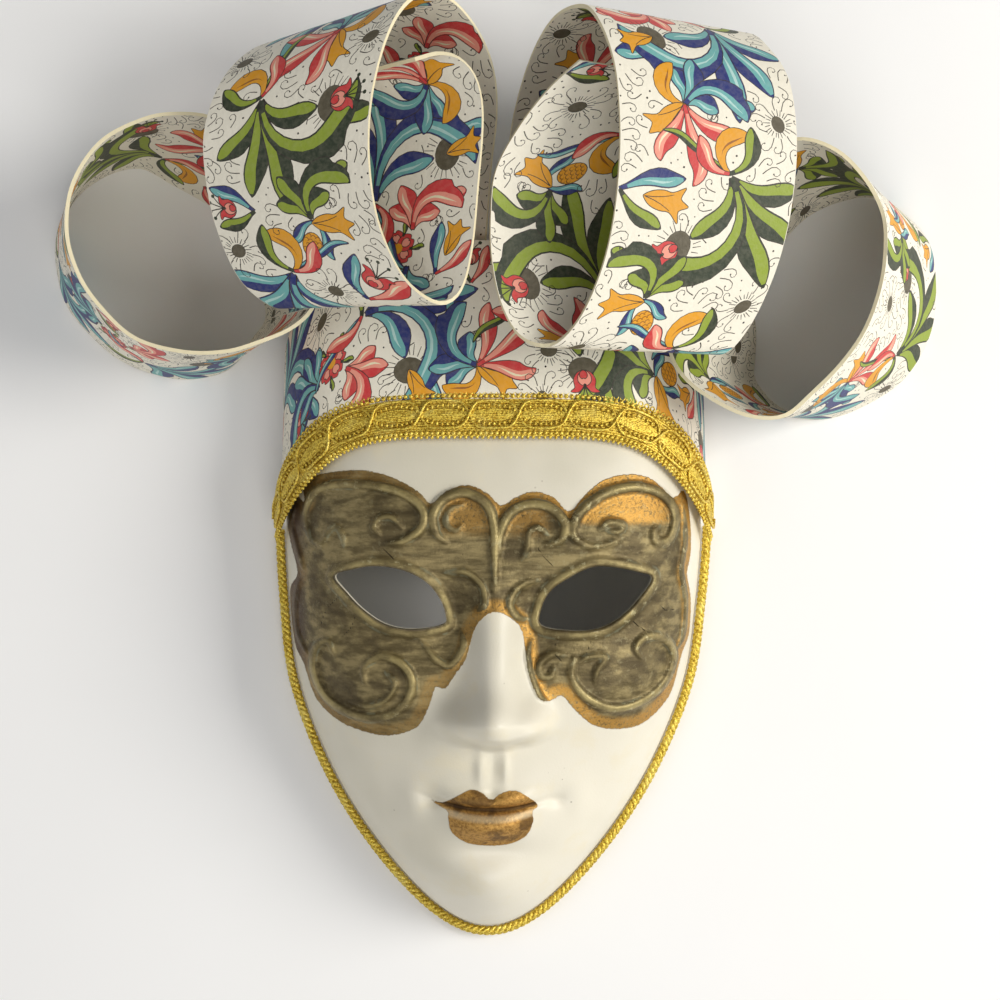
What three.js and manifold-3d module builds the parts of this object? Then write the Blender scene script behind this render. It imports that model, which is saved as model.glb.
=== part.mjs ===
// A small ceramic jester mask with a headpiece of printed ribbon, lying on its back.
// +X is the viewer's right, +Y points to the headpiece and +Z out of the face, in millimetres.
// The origin lies in the flat back rim of the shell, in the middle of the wall at the top.

import * as THREE from 'three';
import { mergeVertices } from 'three/addons/utils/BufferGeometryUtils.js';
import Module from 'manifold-3d';

const wasm = await Module();
wasm.setup();

// Driving dimensions
const wall = 3;
const gap = 0.35;
const capGap = 0.5;
const faceDepth = 37;
const ribbonWide = 38;
const ribbonThick = 0.9;
const ringRest = 0.45;
const braidWide = 11;
const braidThick = 1.5;
const braidCells = 13;
const cordRadius = 1.15;
const cordHeight = 2.0;
const scrollWide = 2.5;
const scrollProud = 1.0;
const eyeRimWide = 4.4;
const lipProud = 1.9;

// The lips, each a soft roll with its width
const lips = [
  { wide: 4, route: [[-11.4, -102.6], [-6.6, -100.8], [-2.6, -101.3], [-0.8, -102], [1.8, -101.3],
    [5.4, -101.2], [9.4, -102.8]] },
  { wide: 7, route: [[-8.6, -105.4], [-5, -107.6], [-0.8, -108.6], [3.6, -107.8], [7, -105.6]] },
];

// Heights of the features of the face, measured along Y
const browY = -44.5;
const eyeY = -59.5;
const noseRootY = -55.5;
const noseTipY = -82.7;
const chinY = -122.5;

// Fineness of the meshes
const shellSpokes = 56;
const shellRings = 18;
const hollowSpokes = 36;
const hollowRings = 8;

// The outline of the back rim, right half, from the top to the chin
const halfOutline = [
  [0, 1.5], [17, 0.6], [33, -4], [42.8, -14], [47.2, -27], [48.2, -41],
  [47, -60.5], [44.3, -79], [36, -99.5], [24.6, -117], [11.4, -130.6], [0, -135.2],
];
const domeCentre = { x: 0, y: -66.5 };

// The real face leans a little: below this height it shifts to the left, above it to the right
const leanY = -15;
const lean = 0.0135;

// The openings of the eyes, each from the outer corner over the top
const leftEye = [
  [-34.7, -53], [-30.6, -51.4], [-25.1, -50.6], [-19.4, -51.5], [-14.9, -53.8], [-12, -57.2],
  [-10.6, -61], [-11.2, -63.2], [-17.8, -64.2], [-23.6, -63.2], [-28.4, -60.2], [-32, -56.6],
];
const rightEye = [
  [34, -53.4], [30.6, -51.9], [25.1, -50.8], [20.6, -50.8], [15.9, -53], [12, -55.8],
  [10, -59.6], [10, -63.4], [16.2, -64.5], [22, -64.2], [26.8, -62], [31, -58],
];

// The raised scrolls, each a route over the face from one end to the other
const scrolls = [
  [[-40.6, -45.2], [-42, -39.6], [-38.6, -34.2], [-30, -33.1], [-21, -34.6], [-15.6, -38.2],
    [-15.6, -42.4], [-19.5, -45.2], [-23, -45.8]],
  [[0, -55], [0, -48.6], [-0.2, -42], [-1.8, -37.4], [-6.5, -34.9], [-10.9, -36.3],
    [-13.1, -39.8], [-12.4, -43.6]],
  [[1.6, -41.6], [3.6, -39], [7.6, -37.4], [12, -38.3], [14.9, -41.5], [14.1, -44.9], [10.8, -46]],
  [[17.4, -44.6], [16.7, -42], [19, -38.2], [24.4, -34.8], [31, -33.7], [36.8, -35.6],
    [39.6, -40], [38.2, -44.8], [35.2, -45.6]],
  [[-35.3, -69.6], [-36.6, -67.2], [-39.6, -69], [-40.4, -74.2], [-37.4, -80], [-30.7, -83.3],
    [-24.4, -83.4], [-19.4, -80.4], [-17.6, -75.6], [-19.8, -71.6], [-24.2, -70], [-28, -72.2]],
  [[17, -70.2], [16.5, -74.4], [19.5, -78.7], [25.4, -81.5], [32, -80.5], [37.4, -77],
    [39.8, -71.4], [37.4, -67], [33, -66.2], [30.7, -68.6]],
  [[-10.6, -52], [-6.2, -51.9], [-2.8, -54.6], [-2.2, -58.4]],
  [[9.6, -53.6], [5.6, -54.8], [3.3, -58.2], [5, -61.6]],
];

// The ribbons: stations of the near edge, then how far the far edge lies aside from it in X and Y
const bigLoopLeft = [
  [-2.6, 13, 29.6, -34, 0], [-1.7, 24, 29.6, -34, 0], [-0.8, 36, 29.4, -34.5, 0],
  [0.4, 47, 29.2, -34.5, -1], [-0.2, 56, 30.5, -34, -3], [-3.2, 63, 35, -33.5, -5],
  [-8.6, 67.6, 43, -33.5, -6], [-14.2, 67, 51, -33.5, -6], [-18.6, 62.4, 56, -34, -5.5],
  [-22.1, 54.5, 58, -35, -4.6], [-24.6, 43.4, 58.5, -35.4, -2.5], [-25.1, 31.9, 58, -35.2, 0.8],
  [-23.4, 19.7, 57.4, -35, 2], [-19, 9.4, 56.8, -35, 1.6], [-14.1, 4.5, 55.6, -34.8, 1.2],
  [-9.9, 3.4, 54, -34.6, 1], [-6.6, 6.6, 52.6, -34.4, 1], [-4.6, 14.8, 51.4, -34.4, 0.5],
  [-3.4, 27.3, 50.6, -34.4, 0], [-2.4, 41.7, 50, -34.4, -1], [-3.6, 49.4, 50, -34.2, -2],
  [-6.9, 53.6, 50.6, -34, -3], [-11.2, 54.6, 51.4, -33.5, -3.5], [-16.2, 53.2, 52, -33.5, -4],
];
const bigLoopRight = [
  [3.4, 13, 29.6, 34.4, 0], [2.8, 24, 29.6, 34.6, 0], [3, 39, 29.3, 35.5, 0],
  [4.6, 49.2, 29.2, 35.5, -1], [8.2, 60, 31.4, 35.5, -2], [12.8, 66, 37.4, 35.8, -2.6],
  [18.3, 65.8, 46, 36, -2.8], [21.4, 59.8, 54, 36.3, -3], [23.9, 51.2, 57.5, 36.6, -1.2],
  [24.9, 41.4, 58.5, 36.8, -0.5], [24.9, 31.4, 58.5, 36.8, 0], [23.7, 19.5, 58, 36.6, 0.4],
  [21.2, 9.2, 57, 36.2, 0], [16.8, -0.2, 55.2, 36, -0.4], [11.4, -5, 52.8, 36.4, -0.6],
  [5.4, -3.2, 50.4, 36.2, 0], [1.4, 3.5, 49.2, 36, 0], [-0.6, 12.5, 48.4, 36, 0],
  [-0.9, 22.2, 48, 36, 0], [0.2, 31.4, 48.2, 36, -0.6], [5.2, 40.5, 49, 35.8, -1.2],
  [11.3, 48, 50, 35.6, -2], [17.4, 53.3, 51.2, 35.4, -2.4],
];
// The two rings stand on their far edge, so a station gives no height
const outerLoopLeft = [
  [-39, 4.2, -14.4, 1.4], [-38, 10, -16, 1], [-39.6, 18, -16.6, 0.2], [-43.4, 29.7, -13, -5],
  [-51.1, 40.2, -9.6, -11], [-60.1, 44.9, -7, -12], [-67.5, 45.6, -7.4, -8.4],
  [-74.5, 44.3, -8.6, -3], [-83.4, 39.6, -8.6, -0.6], [-89.4, 31, -9.6, 2],
  [-91, 21, -11.4, 2.4], [-88.8, 12.2, -12, -0.7], [-84.2, 5, -12, -0.8],
  [-76.6, -2, -10.4, -1.8], [-66.4, -5, -8.2, -2.8], [-57, -5, -7.4, -1.6],
  [-49.6, -2.8, -9.4, 0.4], [-43.4, 0, -12.8, 1.4],
];
const outerLoopRight = [
  [37.8, -4.4, 22.6, 1.2], [41.2, -10.8, 19, 3], [47.8, -15.8, 14.4, 4.6],
  [54.5, -18.7, 10.4, 4.6], [61.4, -18.6, 8.6, 1.8], [67.4, -13.8, 11, -3.2],
  [74.2, -7, 13.4, -6.4], [79.4, 0.4, 16.4, -7.8], [82.8, 9.6, 18.6, -7],
  [83.8, 18.4, 18.8, -4], [82.8, 25.4, 17.4, -0.6], [78.4, 32.2, 11.6, 1.6],
  [72.4, 37.8, 9.2, -4], [64.6, 40.4, 8, -10.6], [55.4, 37.6, 10.4, -15],
  [46.4, 28.4, 14.4, -13], [40, 17, 20, -8.4], [37.6, 5.6, 23, -2.6],
];

// The cap band and the braid follow one arch over the forehead
const archTopY = -19;
const archDrop = 22;
const archEdge = 47.7;
const archSharp = 5;
const archReach = 0.975;
const capTaper = 0.02;
const braidLift = 0.6;

// Small helpers
const ramp = (from, to, value) => {
  const t = Math.min(Math.max((value - from) / (to - from), 0), 1);
  return t * t * (3 - 2 * t);
};
const bell = (x, y, cx, cy, wx, wy) => Math.exp(-(((x - cx) / wx) ** 2) - ((y - cy) / wy) ** 2);
const bells = (x, y, cx, cy, wx, wy) => bell(x, y, cx, cy, wx, wy) + bell(x, y, -cx, cy, wx, wy);
const vector = (x, y, z) => new THREE.Vector3(x, y, z);

function routeOver(points, closed) {
  const corners = points.map(([x, y]) => vector(x, y, 0));
  return new THREE.CatmullRomCurve3(corners, closed, 'catmullrom', 0.5);
}

// Gives the outline's distance from a centre for any direction
function reachFrom(curve, centre, samples = 720) {
  const full = 2 * Math.PI;
  const turn = (x, y) => (Math.atan2(x - centre.x, y - centre.y) + full) % full;
  const table = [];
  for (let i = 0; i < samples; i++) {
    const p = curve.getPoint(i / samples);
    table.push([turn(p.x, p.y), Math.hypot(p.x - centre.x, p.y - centre.y)]);
  }
  table.sort((a, b) => a[0] - b[0]);
  table.push([table[0][0] + full, table[0][1]]);
  return (x, y) => {
    let angle = turn(x, y);
    if (angle < table[0][0]) angle += full;
    let low = 0;
    let high = table.length - 1;
    while (high - low > 1) {
      const middle = (low + high) >> 1;
      if (table[middle][0] <= angle) low = middle;
      else high = middle;
    }
    const share = (angle - table[low][0]) / (table[high][0] - table[low][0]);
    return table[low][1] + share * (table[high][1] - table[low][1]);
  };
}

const leanAt = (y) => lean * (y - leanY);
const mirrored = halfOutline.slice(1, -1).reverse().map(([x, y]) => [-x, y]);
const leaning = [...halfOutline, ...mirrored].map(([x, y]) => [x + leanAt(y), y]);
const outline = routeOver(leaning, true);
const domeReach = reachFrom(outline, domeCentre);

// The face: a blunt dome with the features added to it
function dome(x, y, inset) {
  const far = Math.hypot(x - domeCentre.x, y - domeCentre.y);
  const share = Math.min(far / (domeReach(x, y) - inset), 1);
  const depth = faceDepth - inset - 4 * ramp(-51.5, -96.5, y);
  return { share, height: depth * (1 - share ** 3.3) ** 0.52 };
}

function nose(x, y) {
  const along = Math.min(Math.max((noseRootY - y) / 28, 0), 1);
  const wide = 4 + 2.8 * along ** 1.5;
  const ridge = (0.8 + 10.2 * along ** 1.35) * Math.exp(-(Math.abs(x / wide) ** 2.2));
  const ball = 3.6 * bell(x, y, -0.3, noseTipY, 5.6, 5);
  const wings = 5.6 * bells(x, y, 7.6, noseTipY - 1.8, 3.9, 4.6);
  const under = 1 - ramp(86.1, 90.9, 0.016 * x * x - y);
  return (ridge * ramp(44.5, 58.5, -y) + ball + wings) * under;
}

// Sockets, brow, cheekbones, hollow cheeks and chin, which the inside of the shell follows too
function softForms(x, y) {
  return -2.6 * bells(x, y, 20, eyeY, 13, 9)
    - 2.6 * bells(x, y, 9.2, eyeY - 1, 4.6, 7.5)
    + 1.0 * bells(x, y, 21, browY, 15, 7)
    + 1.3 * bells(x, y, 27, -78.5, 9, 8)
    - 1.4 * bells(x, y, 23, -100.5, 8, 11)
    - 2.0 * bell(x, y, -0.8, chinY + 9, 9, 3.2)
    + 3.2 * bell(x, y, -0.5, chinY, 10, 6.5);
}

function outside(x, y) {
  const { share, height } = dome(x, y, 0);
  const inner = 1 - share ** 6;
  return height + inner * (softForms(x, y) + nose(x, y));
}

function inside(x, y) {
  const { share, height } = dome(x, y, wall);
  const inner = 1 - share ** 6;
  return height + inner * (softForms(x, y) + 0.6 * nose(1.4 * x, y - wall));
}

// Closed meshes from indexed points
function closedGeometry(points, faces) {
  const geometry = new THREE.BufferGeometry();
  geometry.setAttribute('position', new THREE.Float32BufferAttribute(points.flat(), 3));
  geometry.setIndex(faces.flat());
  return geometry;
}

function toSolid(geometry) {
  const bare = geometry.clone();
  bare.deleteAttribute('normal');
  bare.deleteAttribute('uv');
  const merged = mergeVertices(bare, 1e-4);
  return new wasm.Manifold(new wasm.Mesh({
    numProp: 3,
    vertProperties: merged.attributes.position.array,
    triVerts: Uint32Array.from(merged.index.array),
  }));
}

function fromSolid(solid) {
  const mesh = solid.getMesh();
  const geometry = new THREE.BufferGeometry();
  geometry.setAttribute('position', new THREE.BufferAttribute(mesh.vertProperties, 3));
  geometry.setIndex(new THREE.BufferAttribute(mesh.triVerts, 1));
  return geometry;
}

// A dome over the outline: rings around a pole, crowded where the side drops, and a flat bottom
function domeSolid({ pole, inset, spokes, rings, heightAt, floor }) {
  const reach = reachFrom(outline, pole);
  const points = [[pole.x, pole.y, heightAt(pole.x, pole.y)]];
  const levels = [];
  for (let ring = 1; ring <= rings; ring++) {
    levels.push(Math.sin((ring / rings) * Math.PI / 2) ** 1.1);
  }
  const spot = (level, spoke) => {
    const angle = (spoke / spokes) * 2 * Math.PI;
    const [dx, dy] = [Math.sin(angle), Math.cos(angle)];
    const far = level * (reach(pole.x + dx, pole.y + dy) - inset);
    return [pole.x + far * dx, pole.y + far * dy];
  };
  for (const level of levels) {
    for (let spoke = 0; spoke < spokes; spoke++) {
      const [x, y] = spot(level, spoke);
      points.push([x, y, level < 1 ? heightAt(x, y) : 0]);
    }
  }
  if (floor < 0) {
    for (let spoke = 0; spoke < spokes; spoke++) points.push([...spot(1, spoke), floor]);
  }
  const circles = rings + (floor < 0 ? 1 : 0);
  const bottom = points.length;
  points.push([pole.x, pole.y, floor]);
  const faces = [];
  const at = (ring, spoke) => (ring === 0 ? 0 : 1 + (ring - 1) * spokes + (spoke % spokes));
  for (let spoke = 0; spoke < spokes; spoke++) {
    faces.push([0, at(1, spoke + 1), at(1, spoke)]);
    for (let ring = 1; ring < circles; ring++) {
      faces.push([at(ring, spoke), at(ring, spoke + 1), at(ring + 1, spoke)]);
      faces.push([at(ring, spoke + 1), at(ring + 1, spoke + 1), at(ring + 1, spoke)]);
    }
    faces.push([bottom, at(circles, spoke), at(circles, spoke + 1)]);
  }
  return toSolid(closedGeometry(points, faces));
}

function eyePrism(points) {
  const shape = new THREE.Shape(routeOver(points, true).getPoints(26).slice(0, -1));
  const geometry = new THREE.ExtrudeGeometry(shape, { depth: 60, bevelEnabled: false });
  return toSolid(geometry);
}

// The direction that the face's surface looks in
function surfaceNormal(x, y) {
  const step = 0.05;
  const dx = (outside(x + step, y) - outside(x - step, y)) / (2 * step);
  const dy = (outside(x, y + step) - outside(x, y - step)) / (2 * step);
  return vector(-dx, -dy, 1).normalize();
}

// A raised roll laid on the face, with thinner ends
function rollSolid(points, { wide, proud = scrollProud, closed = false }) {
  const route = routeOver(points, closed);
  const steps = points.length * 2;
  const section = [[1, -0.5], [0.55, proud], [-0.55, proud], [-1, -0.5], [0, -1.4]];
  const rounds = closed ? steps : steps + 1;
  const vertices = [];
  for (let i = 0; i < rounds; i++) {
    const t = i / steps;
    const p = route.getPoint(t);
    const centre = vector(p.x, p.y, outside(p.x, p.y));
    const up = surfaceNormal(p.x, p.y);
    const ahead = route.getTangent(t).projectOnPlane(up).normalize();
    const side = ahead.clone().cross(up);
    const ends = closed ? 1 : Math.min(1, 0.5 + 3 * Math.min(t, 1 - t));
    for (const [across, high] of section) {
      const spot = centre.clone();
      spot.addScaledVector(side, across * ends * wide / 2).addScaledVector(up, high * ends);
      vertices.push(spot.toArray());
    }
  }
  return toSolid(closedGeometry(vertices, tubeFaces(rounds, section.length, closed)));
}

// Faces of a tube of rings, closed in a circle or with flat ends
function tubeFaces(rounds, sides, closed) {
  const faces = [];
  const at = (round, side) => (round % rounds) * sides + (side % sides);
  const last = closed ? rounds : rounds - 1;
  for (let round = 0; round < last; round++) {
    for (let side = 0; side < sides; side++) {
      faces.push([at(round, side), at(round + 1, side), at(round, side + 1)]);
      faces.push([at(round, side + 1), at(round + 1, side), at(round + 1, side + 1)]);
    }
  }
  if (!closed) {
    for (let side = 1; side < sides - 1; side++) {
      faces.push([at(0, 0), at(0, side), at(0, side + 1)]);
      faces.push([at(last, 0), at(last, side + 1), at(last, side)]);
    }
  }
  return faces;
}

function maskShell() {
  const nosePole = { x: 0, y: noseTipY };
  let shell = domeSolid({
    pole: nosePole, inset: 0, spokes: shellSpokes, rings: shellRings, heightAt: outside, floor: 0,
  });
  shell = shell.subtract(domeSolid({
    pole: domeCentre, inset: wall, spokes: hollowSpokes, rings: hollowRings, heightAt: inside, floor: -5,
  }));
  for (const points of scrolls) shell = shell.add(rollSolid(points, { wide: scrollWide }));
  for (const { wide, route } of lips) shell = shell.add(rollSolid(route, { wide, proud: lipProud }));
  for (const eye of [leftEye, rightEye]) {
    shell = shell.add(rollSolid(eye, { closed: true, wide: eyeRimWide }));
    shell = shell.subtract(eyePrism(eye));
  }
  return fromSolid(shell);
}

// A thin sheet with both faces and its four edges; pointAt gives the middle of the sheet
function sheetGeometry(pointAt, { along, across, closed = false, thick }) {
  const step = 1e-3;
  const columns = closed ? along : along + 1;
  const sides = { front: [], back: [] };
  for (let i = 0; i < columns; i++) {
    for (let j = 0; j <= across; j++) {
      const [u, v] = [i / along, j / across];
      const du = pointAt(Math.min(u + step, 1), v).sub(pointAt(Math.max(u - step, 0), v));
      const dv = pointAt(u, Math.min(v + step, 1)).sub(pointAt(u, Math.max(v - step, 0)));
      const normal = du.cross(dv).normalize();
      const [up, down] = typeof thick === 'function' ? thick(u, v) : [thick / 2, thick / 2];
      sides.front.push(pointAt(u, v).addScaledVector(normal, up).toArray());
      sides.back.push(pointAt(u, v).addScaledVector(normal, -down).toArray());
    }
  }
  const half = sides.front.length;
  const at = (i, j, back) => (i % columns) * (across + 1) + j + (back ? half : 0);
  const faces = [];
  const quad = (a, b, c, d) => faces.push([a, b, c], [a, c, d]);
  for (let i = 0; i < along; i++) {
    for (let j = 0; j < across; j++) {
      quad(at(i, j), at(i + 1, j), at(i + 1, j + 1), at(i, j + 1));
      quad(at(i, j, 1), at(i, j + 1, 1), at(i + 1, j + 1, 1), at(i + 1, j, 1));
    }
    quad(at(i, 0), at(i, 0, 1), at(i + 1, 0, 1), at(i + 1, 0));
    quad(at(i, across), at(i + 1, across), at(i + 1, across, 1), at(i, across, 1));
  }
  if (!closed) {
    for (let j = 0; j < across; j++) {
      quad(at(0, j), at(0, j + 1), at(0, j + 1, 1), at(0, j, 1));
      quad(at(along, j), at(along, j, 1), at(along, j + 1, 1), at(along, j + 1));
    }
  }
  return closedGeometry([...sides.front, ...sides.back], faces);
}

// How far below its near edge a ribbon's far edge lies
const ribbonDrop = (asideX, asideY) => Math.sqrt(ribbonWide ** 2 - asideX ** 2 - asideY ** 2);

// A ribbon between its near edge and its far edge, which keeps the ribbon's width
function ribbon(stations, closed) {
  const near = stations.map(([x, y, z]) => vector(x, y, z));
  const far = stations.map(([x, y, z, asideX, asideY]) => {
    return vector(x + asideX, y + asideY, z - ribbonDrop(asideX, asideY));
  });
  const nearCurve = new THREE.CatmullRomCurve3(near, closed, 'catmullrom', 0.5);
  const farCurve = new THREE.CatmullRomCurve3(far, closed, 'catmullrom', 0.5);
  const pointAt = (u, v) => nearCurve.getPoint(u).lerp(farCurve.getPoint(u), v);
  return sheetGeometry(pointAt, { along: 54, across: 1, closed, thick: ribbonThick });
}

// A closed ring of ribbon that stands on its far edge
function ring(stations) {
  const standing = stations.map(([x, y, asideX, asideY]) => {
    return [x, y, ringRest + ribbonDrop(asideX, asideY), asideX, asideY];
  });
  return ribbon(standing, true);
}

const archY = (x) => archTopY - archDrop * Math.abs(x / archEdge) ** archSharp;

// A point over the forehead, raised from the face, for -1 at the left rim to 1 at the right
function onArch(share, raise) {
  const aside = archEdge * Math.sin(share * Math.PI / 2);
  const y = archY(aside);
  const x = aside + leanAt(y);
  return vector(x, y, outside(x, y)).addScaledVector(surfaceNormal(x, y), raise);
}

// The directions along the arch and, in the cap's surface, across it
function capFrame(share, raise) {
  const ahead = onArch(share + 0.01, raise).sub(onArch(share - 0.01, raise)).normalize();
  const upwards = vector(0, 1, 0).projectOnPlane(ahead).normalize();
  return { ahead, upwards };
}

function cap() {
  const pointAt = (u, v) => {
    const edge = onArch((2 * u - 1) * archReach, capGap + ribbonThick / 2);
    const drawnIn = capTaper * edge.x * (edge.x / archEdge) ** 2;
    return edge.add(vector(-drawnIn * v * v, ribbonWide * v, 0));
  };
  return sheetGeometry(pointAt, { along: 40, across: 2, thick: ribbonThick });
}

// The braid lies on the face below the arch and on the cap above it, bent along the arch
function foreheadBraid() {
  const raise = capGap + ribbonThick + gap + braidThick / 2;
  const pointAt = (u, v) => {
    const share = (2 * u - 1) * archReach;
    const middle = onArch(share, raise);
    const { ahead, upwards } = capFrame(share, raise);
    const foot = onArch(share, 0);
    const facing = surfaceNormal(foot.x, foot.y);
    const downwards = ahead.clone().cross(facing).normalize();
    const scallop = 0.5 * Math.abs(Math.sin(u * Math.PI * braidCells));
    const across = (v - 0.5) * (braidWide - 1 + 2 * scallop);
    middle.addScaledVector(upwards.clone().cross(ahead), -braidLift * (1 - Math.abs(2 * v - 1)));
    return across > 0 ? middle.addScaledVector(upwards, across) : middle.addScaledVector(downwards, -across);
  };
  return sheetGeometry(pointAt, { along: braidCells * 4, across: 2, thick: braidThick });
}

function edgeCord() {
  const start = 0.238;
  const steps = 60;
  const points = [];
  for (let i = 0; i <= steps; i++) {
    const t = start + (1 - 2 * start) * (i / steps);
    const p = outline.getPoint(t);
    const aside = outline.getTangent(t).cross(vector(0, 0, 1)).multiplyScalar(-(cordRadius + gap));
    points.push(vector(p.x + aside.x, p.y + aside.y, cordHeight));
  }
  const round = new THREE.Shape();
  round.absarc(0, 0, cordRadius, 0, 2 * Math.PI);
  return new THREE.ExtrudeGeometry(round, {
    steps, curveSegments: 3, bevelEnabled: false, extrudePath: new THREE.CatmullRomCurve3(points),
  });
}

const mask = new THREE.Group();

function add(name, geometry, colour, roughness, metalness) {
  const material = new THREE.MeshStandardMaterial({ color: colour, roughness, metalness });
  const mesh = new THREE.Mesh(geometry, material);
  mesh.name = name;
  mask.add(mesh);
}

const ivory = 0xe1dece;
const paper = 0xe6ddc4;
const gilt = 0xd0b040;
add('mask_shell', maskShell(), ivory, 0.45, 0);
add('cap_band', cap(), paper, 0.6, 0);
add('forehead_braid', foreheadBraid(), gilt, 0.35, 0.7);
add('edge_cord', edgeCord(), gilt, 0.35, 0.7);
add('big_loop_left', ribbon(bigLoopLeft, false), paper, 0.6, 0);
add('big_loop_right', ribbon(bigLoopRight, false), paper, 0.6, 0);
add('outer_loop_left', ring(outerLoopLeft), paper, 0.6, 0);
add('outer_loop_right', ring(outerLoopRight), paper, 0.6, 0);

export default mask;
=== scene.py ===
# %% [markdown]
# # A small ceramic jester mask
# The mask is a cast ceramic face, ivory with a bronze-gold band of piped scrolls round the eyes. A cap and
# four loops of stiff printed ribbon are glued to its forehead, and gold braid and cord hide the seams.
# It lies on its back and the camera looks straight down on it, so +X is to the right, +Y points to the
# headpiece and +Z comes out of the face. The frame is the measured model: every piece stands where it says.

# %% Load the measured frame
import math
import random

import bpy
import numpy as np
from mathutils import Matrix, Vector
from mathutils.geometry import delaunay_2d_cdt


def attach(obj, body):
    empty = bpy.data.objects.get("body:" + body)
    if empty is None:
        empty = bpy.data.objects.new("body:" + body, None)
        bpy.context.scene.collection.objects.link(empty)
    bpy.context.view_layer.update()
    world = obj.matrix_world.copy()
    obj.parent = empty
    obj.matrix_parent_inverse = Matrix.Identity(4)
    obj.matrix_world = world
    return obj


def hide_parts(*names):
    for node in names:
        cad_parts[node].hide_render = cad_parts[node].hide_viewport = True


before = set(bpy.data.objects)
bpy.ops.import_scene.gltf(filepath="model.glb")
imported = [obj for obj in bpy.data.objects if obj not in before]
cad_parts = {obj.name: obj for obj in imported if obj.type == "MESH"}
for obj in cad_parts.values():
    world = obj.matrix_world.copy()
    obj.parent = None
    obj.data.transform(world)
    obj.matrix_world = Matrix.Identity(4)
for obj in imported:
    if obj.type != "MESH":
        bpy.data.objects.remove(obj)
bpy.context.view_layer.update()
MM = 0.001
scene = bpy.context.scene
print("nodes in the frame:", sorted(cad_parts))

# %% [markdown]
# ## Camera, floor and light
# The face is seen from straight above at arm's length, so the loops, which stand up to 59 mm high, look
# larger than the rim on the table. A lens of 61.6 mm on a 36 mm sensor gives that spread at 400 mm.
# The light is that of a bright room: a large soft source on the right, a weaker one beyond the chin, a faint
# one on the left and a pale world, so the left sides of the ribbons and their insides lie in soft shade.

# %% Camera
SENSOR_WIDE = 36
LENS = 61.56
CAMERA_PLACE = (0.0011, -0.0365, 0.4)
camera_data = bpy.data.cameras.new("camera")
camera_data.sensor_width = SENSOR_WIDE
camera_data.lens = LENS
camera_data.clip_start = 10 * MM
camera = bpy.data.objects.new("camera", camera_data)
camera.location = CAMERA_PLACE
scene.collection.objects.link(camera)
scene.camera = camera
print("camera at", CAMERA_PLACE, "metres")

# %% Lights and world
FACE_MIDDLE = Vector((0.0, -0.04, 0.03))
LIGHTS = {
    # place in metres, side of the square, watts, colour
    "window": ((0.66, 0.06, 0.52), 0.42, 5.9, (1.0, 0.975, 0.93)),
    "ceiling": ((0.12, -0.6, 0.75), 0.5, 2.7, (1.0, 0.98, 0.95)),
    "fill": ((-0.6, -0.1, 0.5), 0.7, 1.0, (0.98, 0.98, 1.0)),
}
ROOM_COLOUR = (0.94, 0.96, 1.0, 1)
ROOM_STRENGTH = 0.21
for name, (place, size, power, colour) in LIGHTS.items():
    data = bpy.data.lights.new(name, "AREA")
    data.shape = "SQUARE"
    data.size = size
    data.energy = power
    data.color = colour
    light = bpy.data.objects.new(name, data)
    light.location = place
    light.rotation_euler = (FACE_MIDDLE - Vector(place)).to_track_quat("-Z", "Y").to_euler()
    scene.collection.objects.link(light)

world = bpy.data.worlds.new("room")
world.use_nodes = True
backdrop = world.node_tree.nodes["Background"]
backdrop.inputs["Color"].default_value = ROOM_COLOUR
backdrop.inputs["Strength"].default_value = ROOM_STRENGTH
scene.world = world
scene.view_settings.view_transform = "Standard"
print("lights:", list(LIGHTS))

# %% [markdown]
# ## Writing materials as sums
# A shader is a sum of many small signals: noise, distances, masks. Wiring each by hand hides the idea, so a
# signal here is a Python object, and `a * b + 1` adds its Math nodes. Colours go through Mix nodes, because
# a Math node turns a colour grey. `Paint.node` makes any other node.


# %% Signals
class Signal:
    """A number that a node gives, ready for sums."""

    def __init__(self, paint, socket):
        self.paint = paint
        self.socket = socket

    def _math(self, operation, *others):
        return self.paint.math(operation, self, *others)

    def __add__(self, other):
        return self._math("ADD", other)

    def __sub__(self, other):
        return self._math("SUBTRACT", other)

    def __mul__(self, other):
        return self._math("MULTIPLY", other)

    def __rsub__(self, other):
        return self.paint.math("SUBTRACT", other, self)

    __radd__ = __add__
    __rmul__ = __mul__

    def step(self, low, high):
        """0 below low, 1 above high, and a smooth rise between; low may be the larger."""
        node = self.paint.node(
            "ShaderNodeMapRange",
            {"interpolation_type": "SMOOTHSTEP"},
            {"Value": self, "From Min": low, "From Max": high},
        )
        return Signal(self.paint, node.outputs[0])


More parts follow.
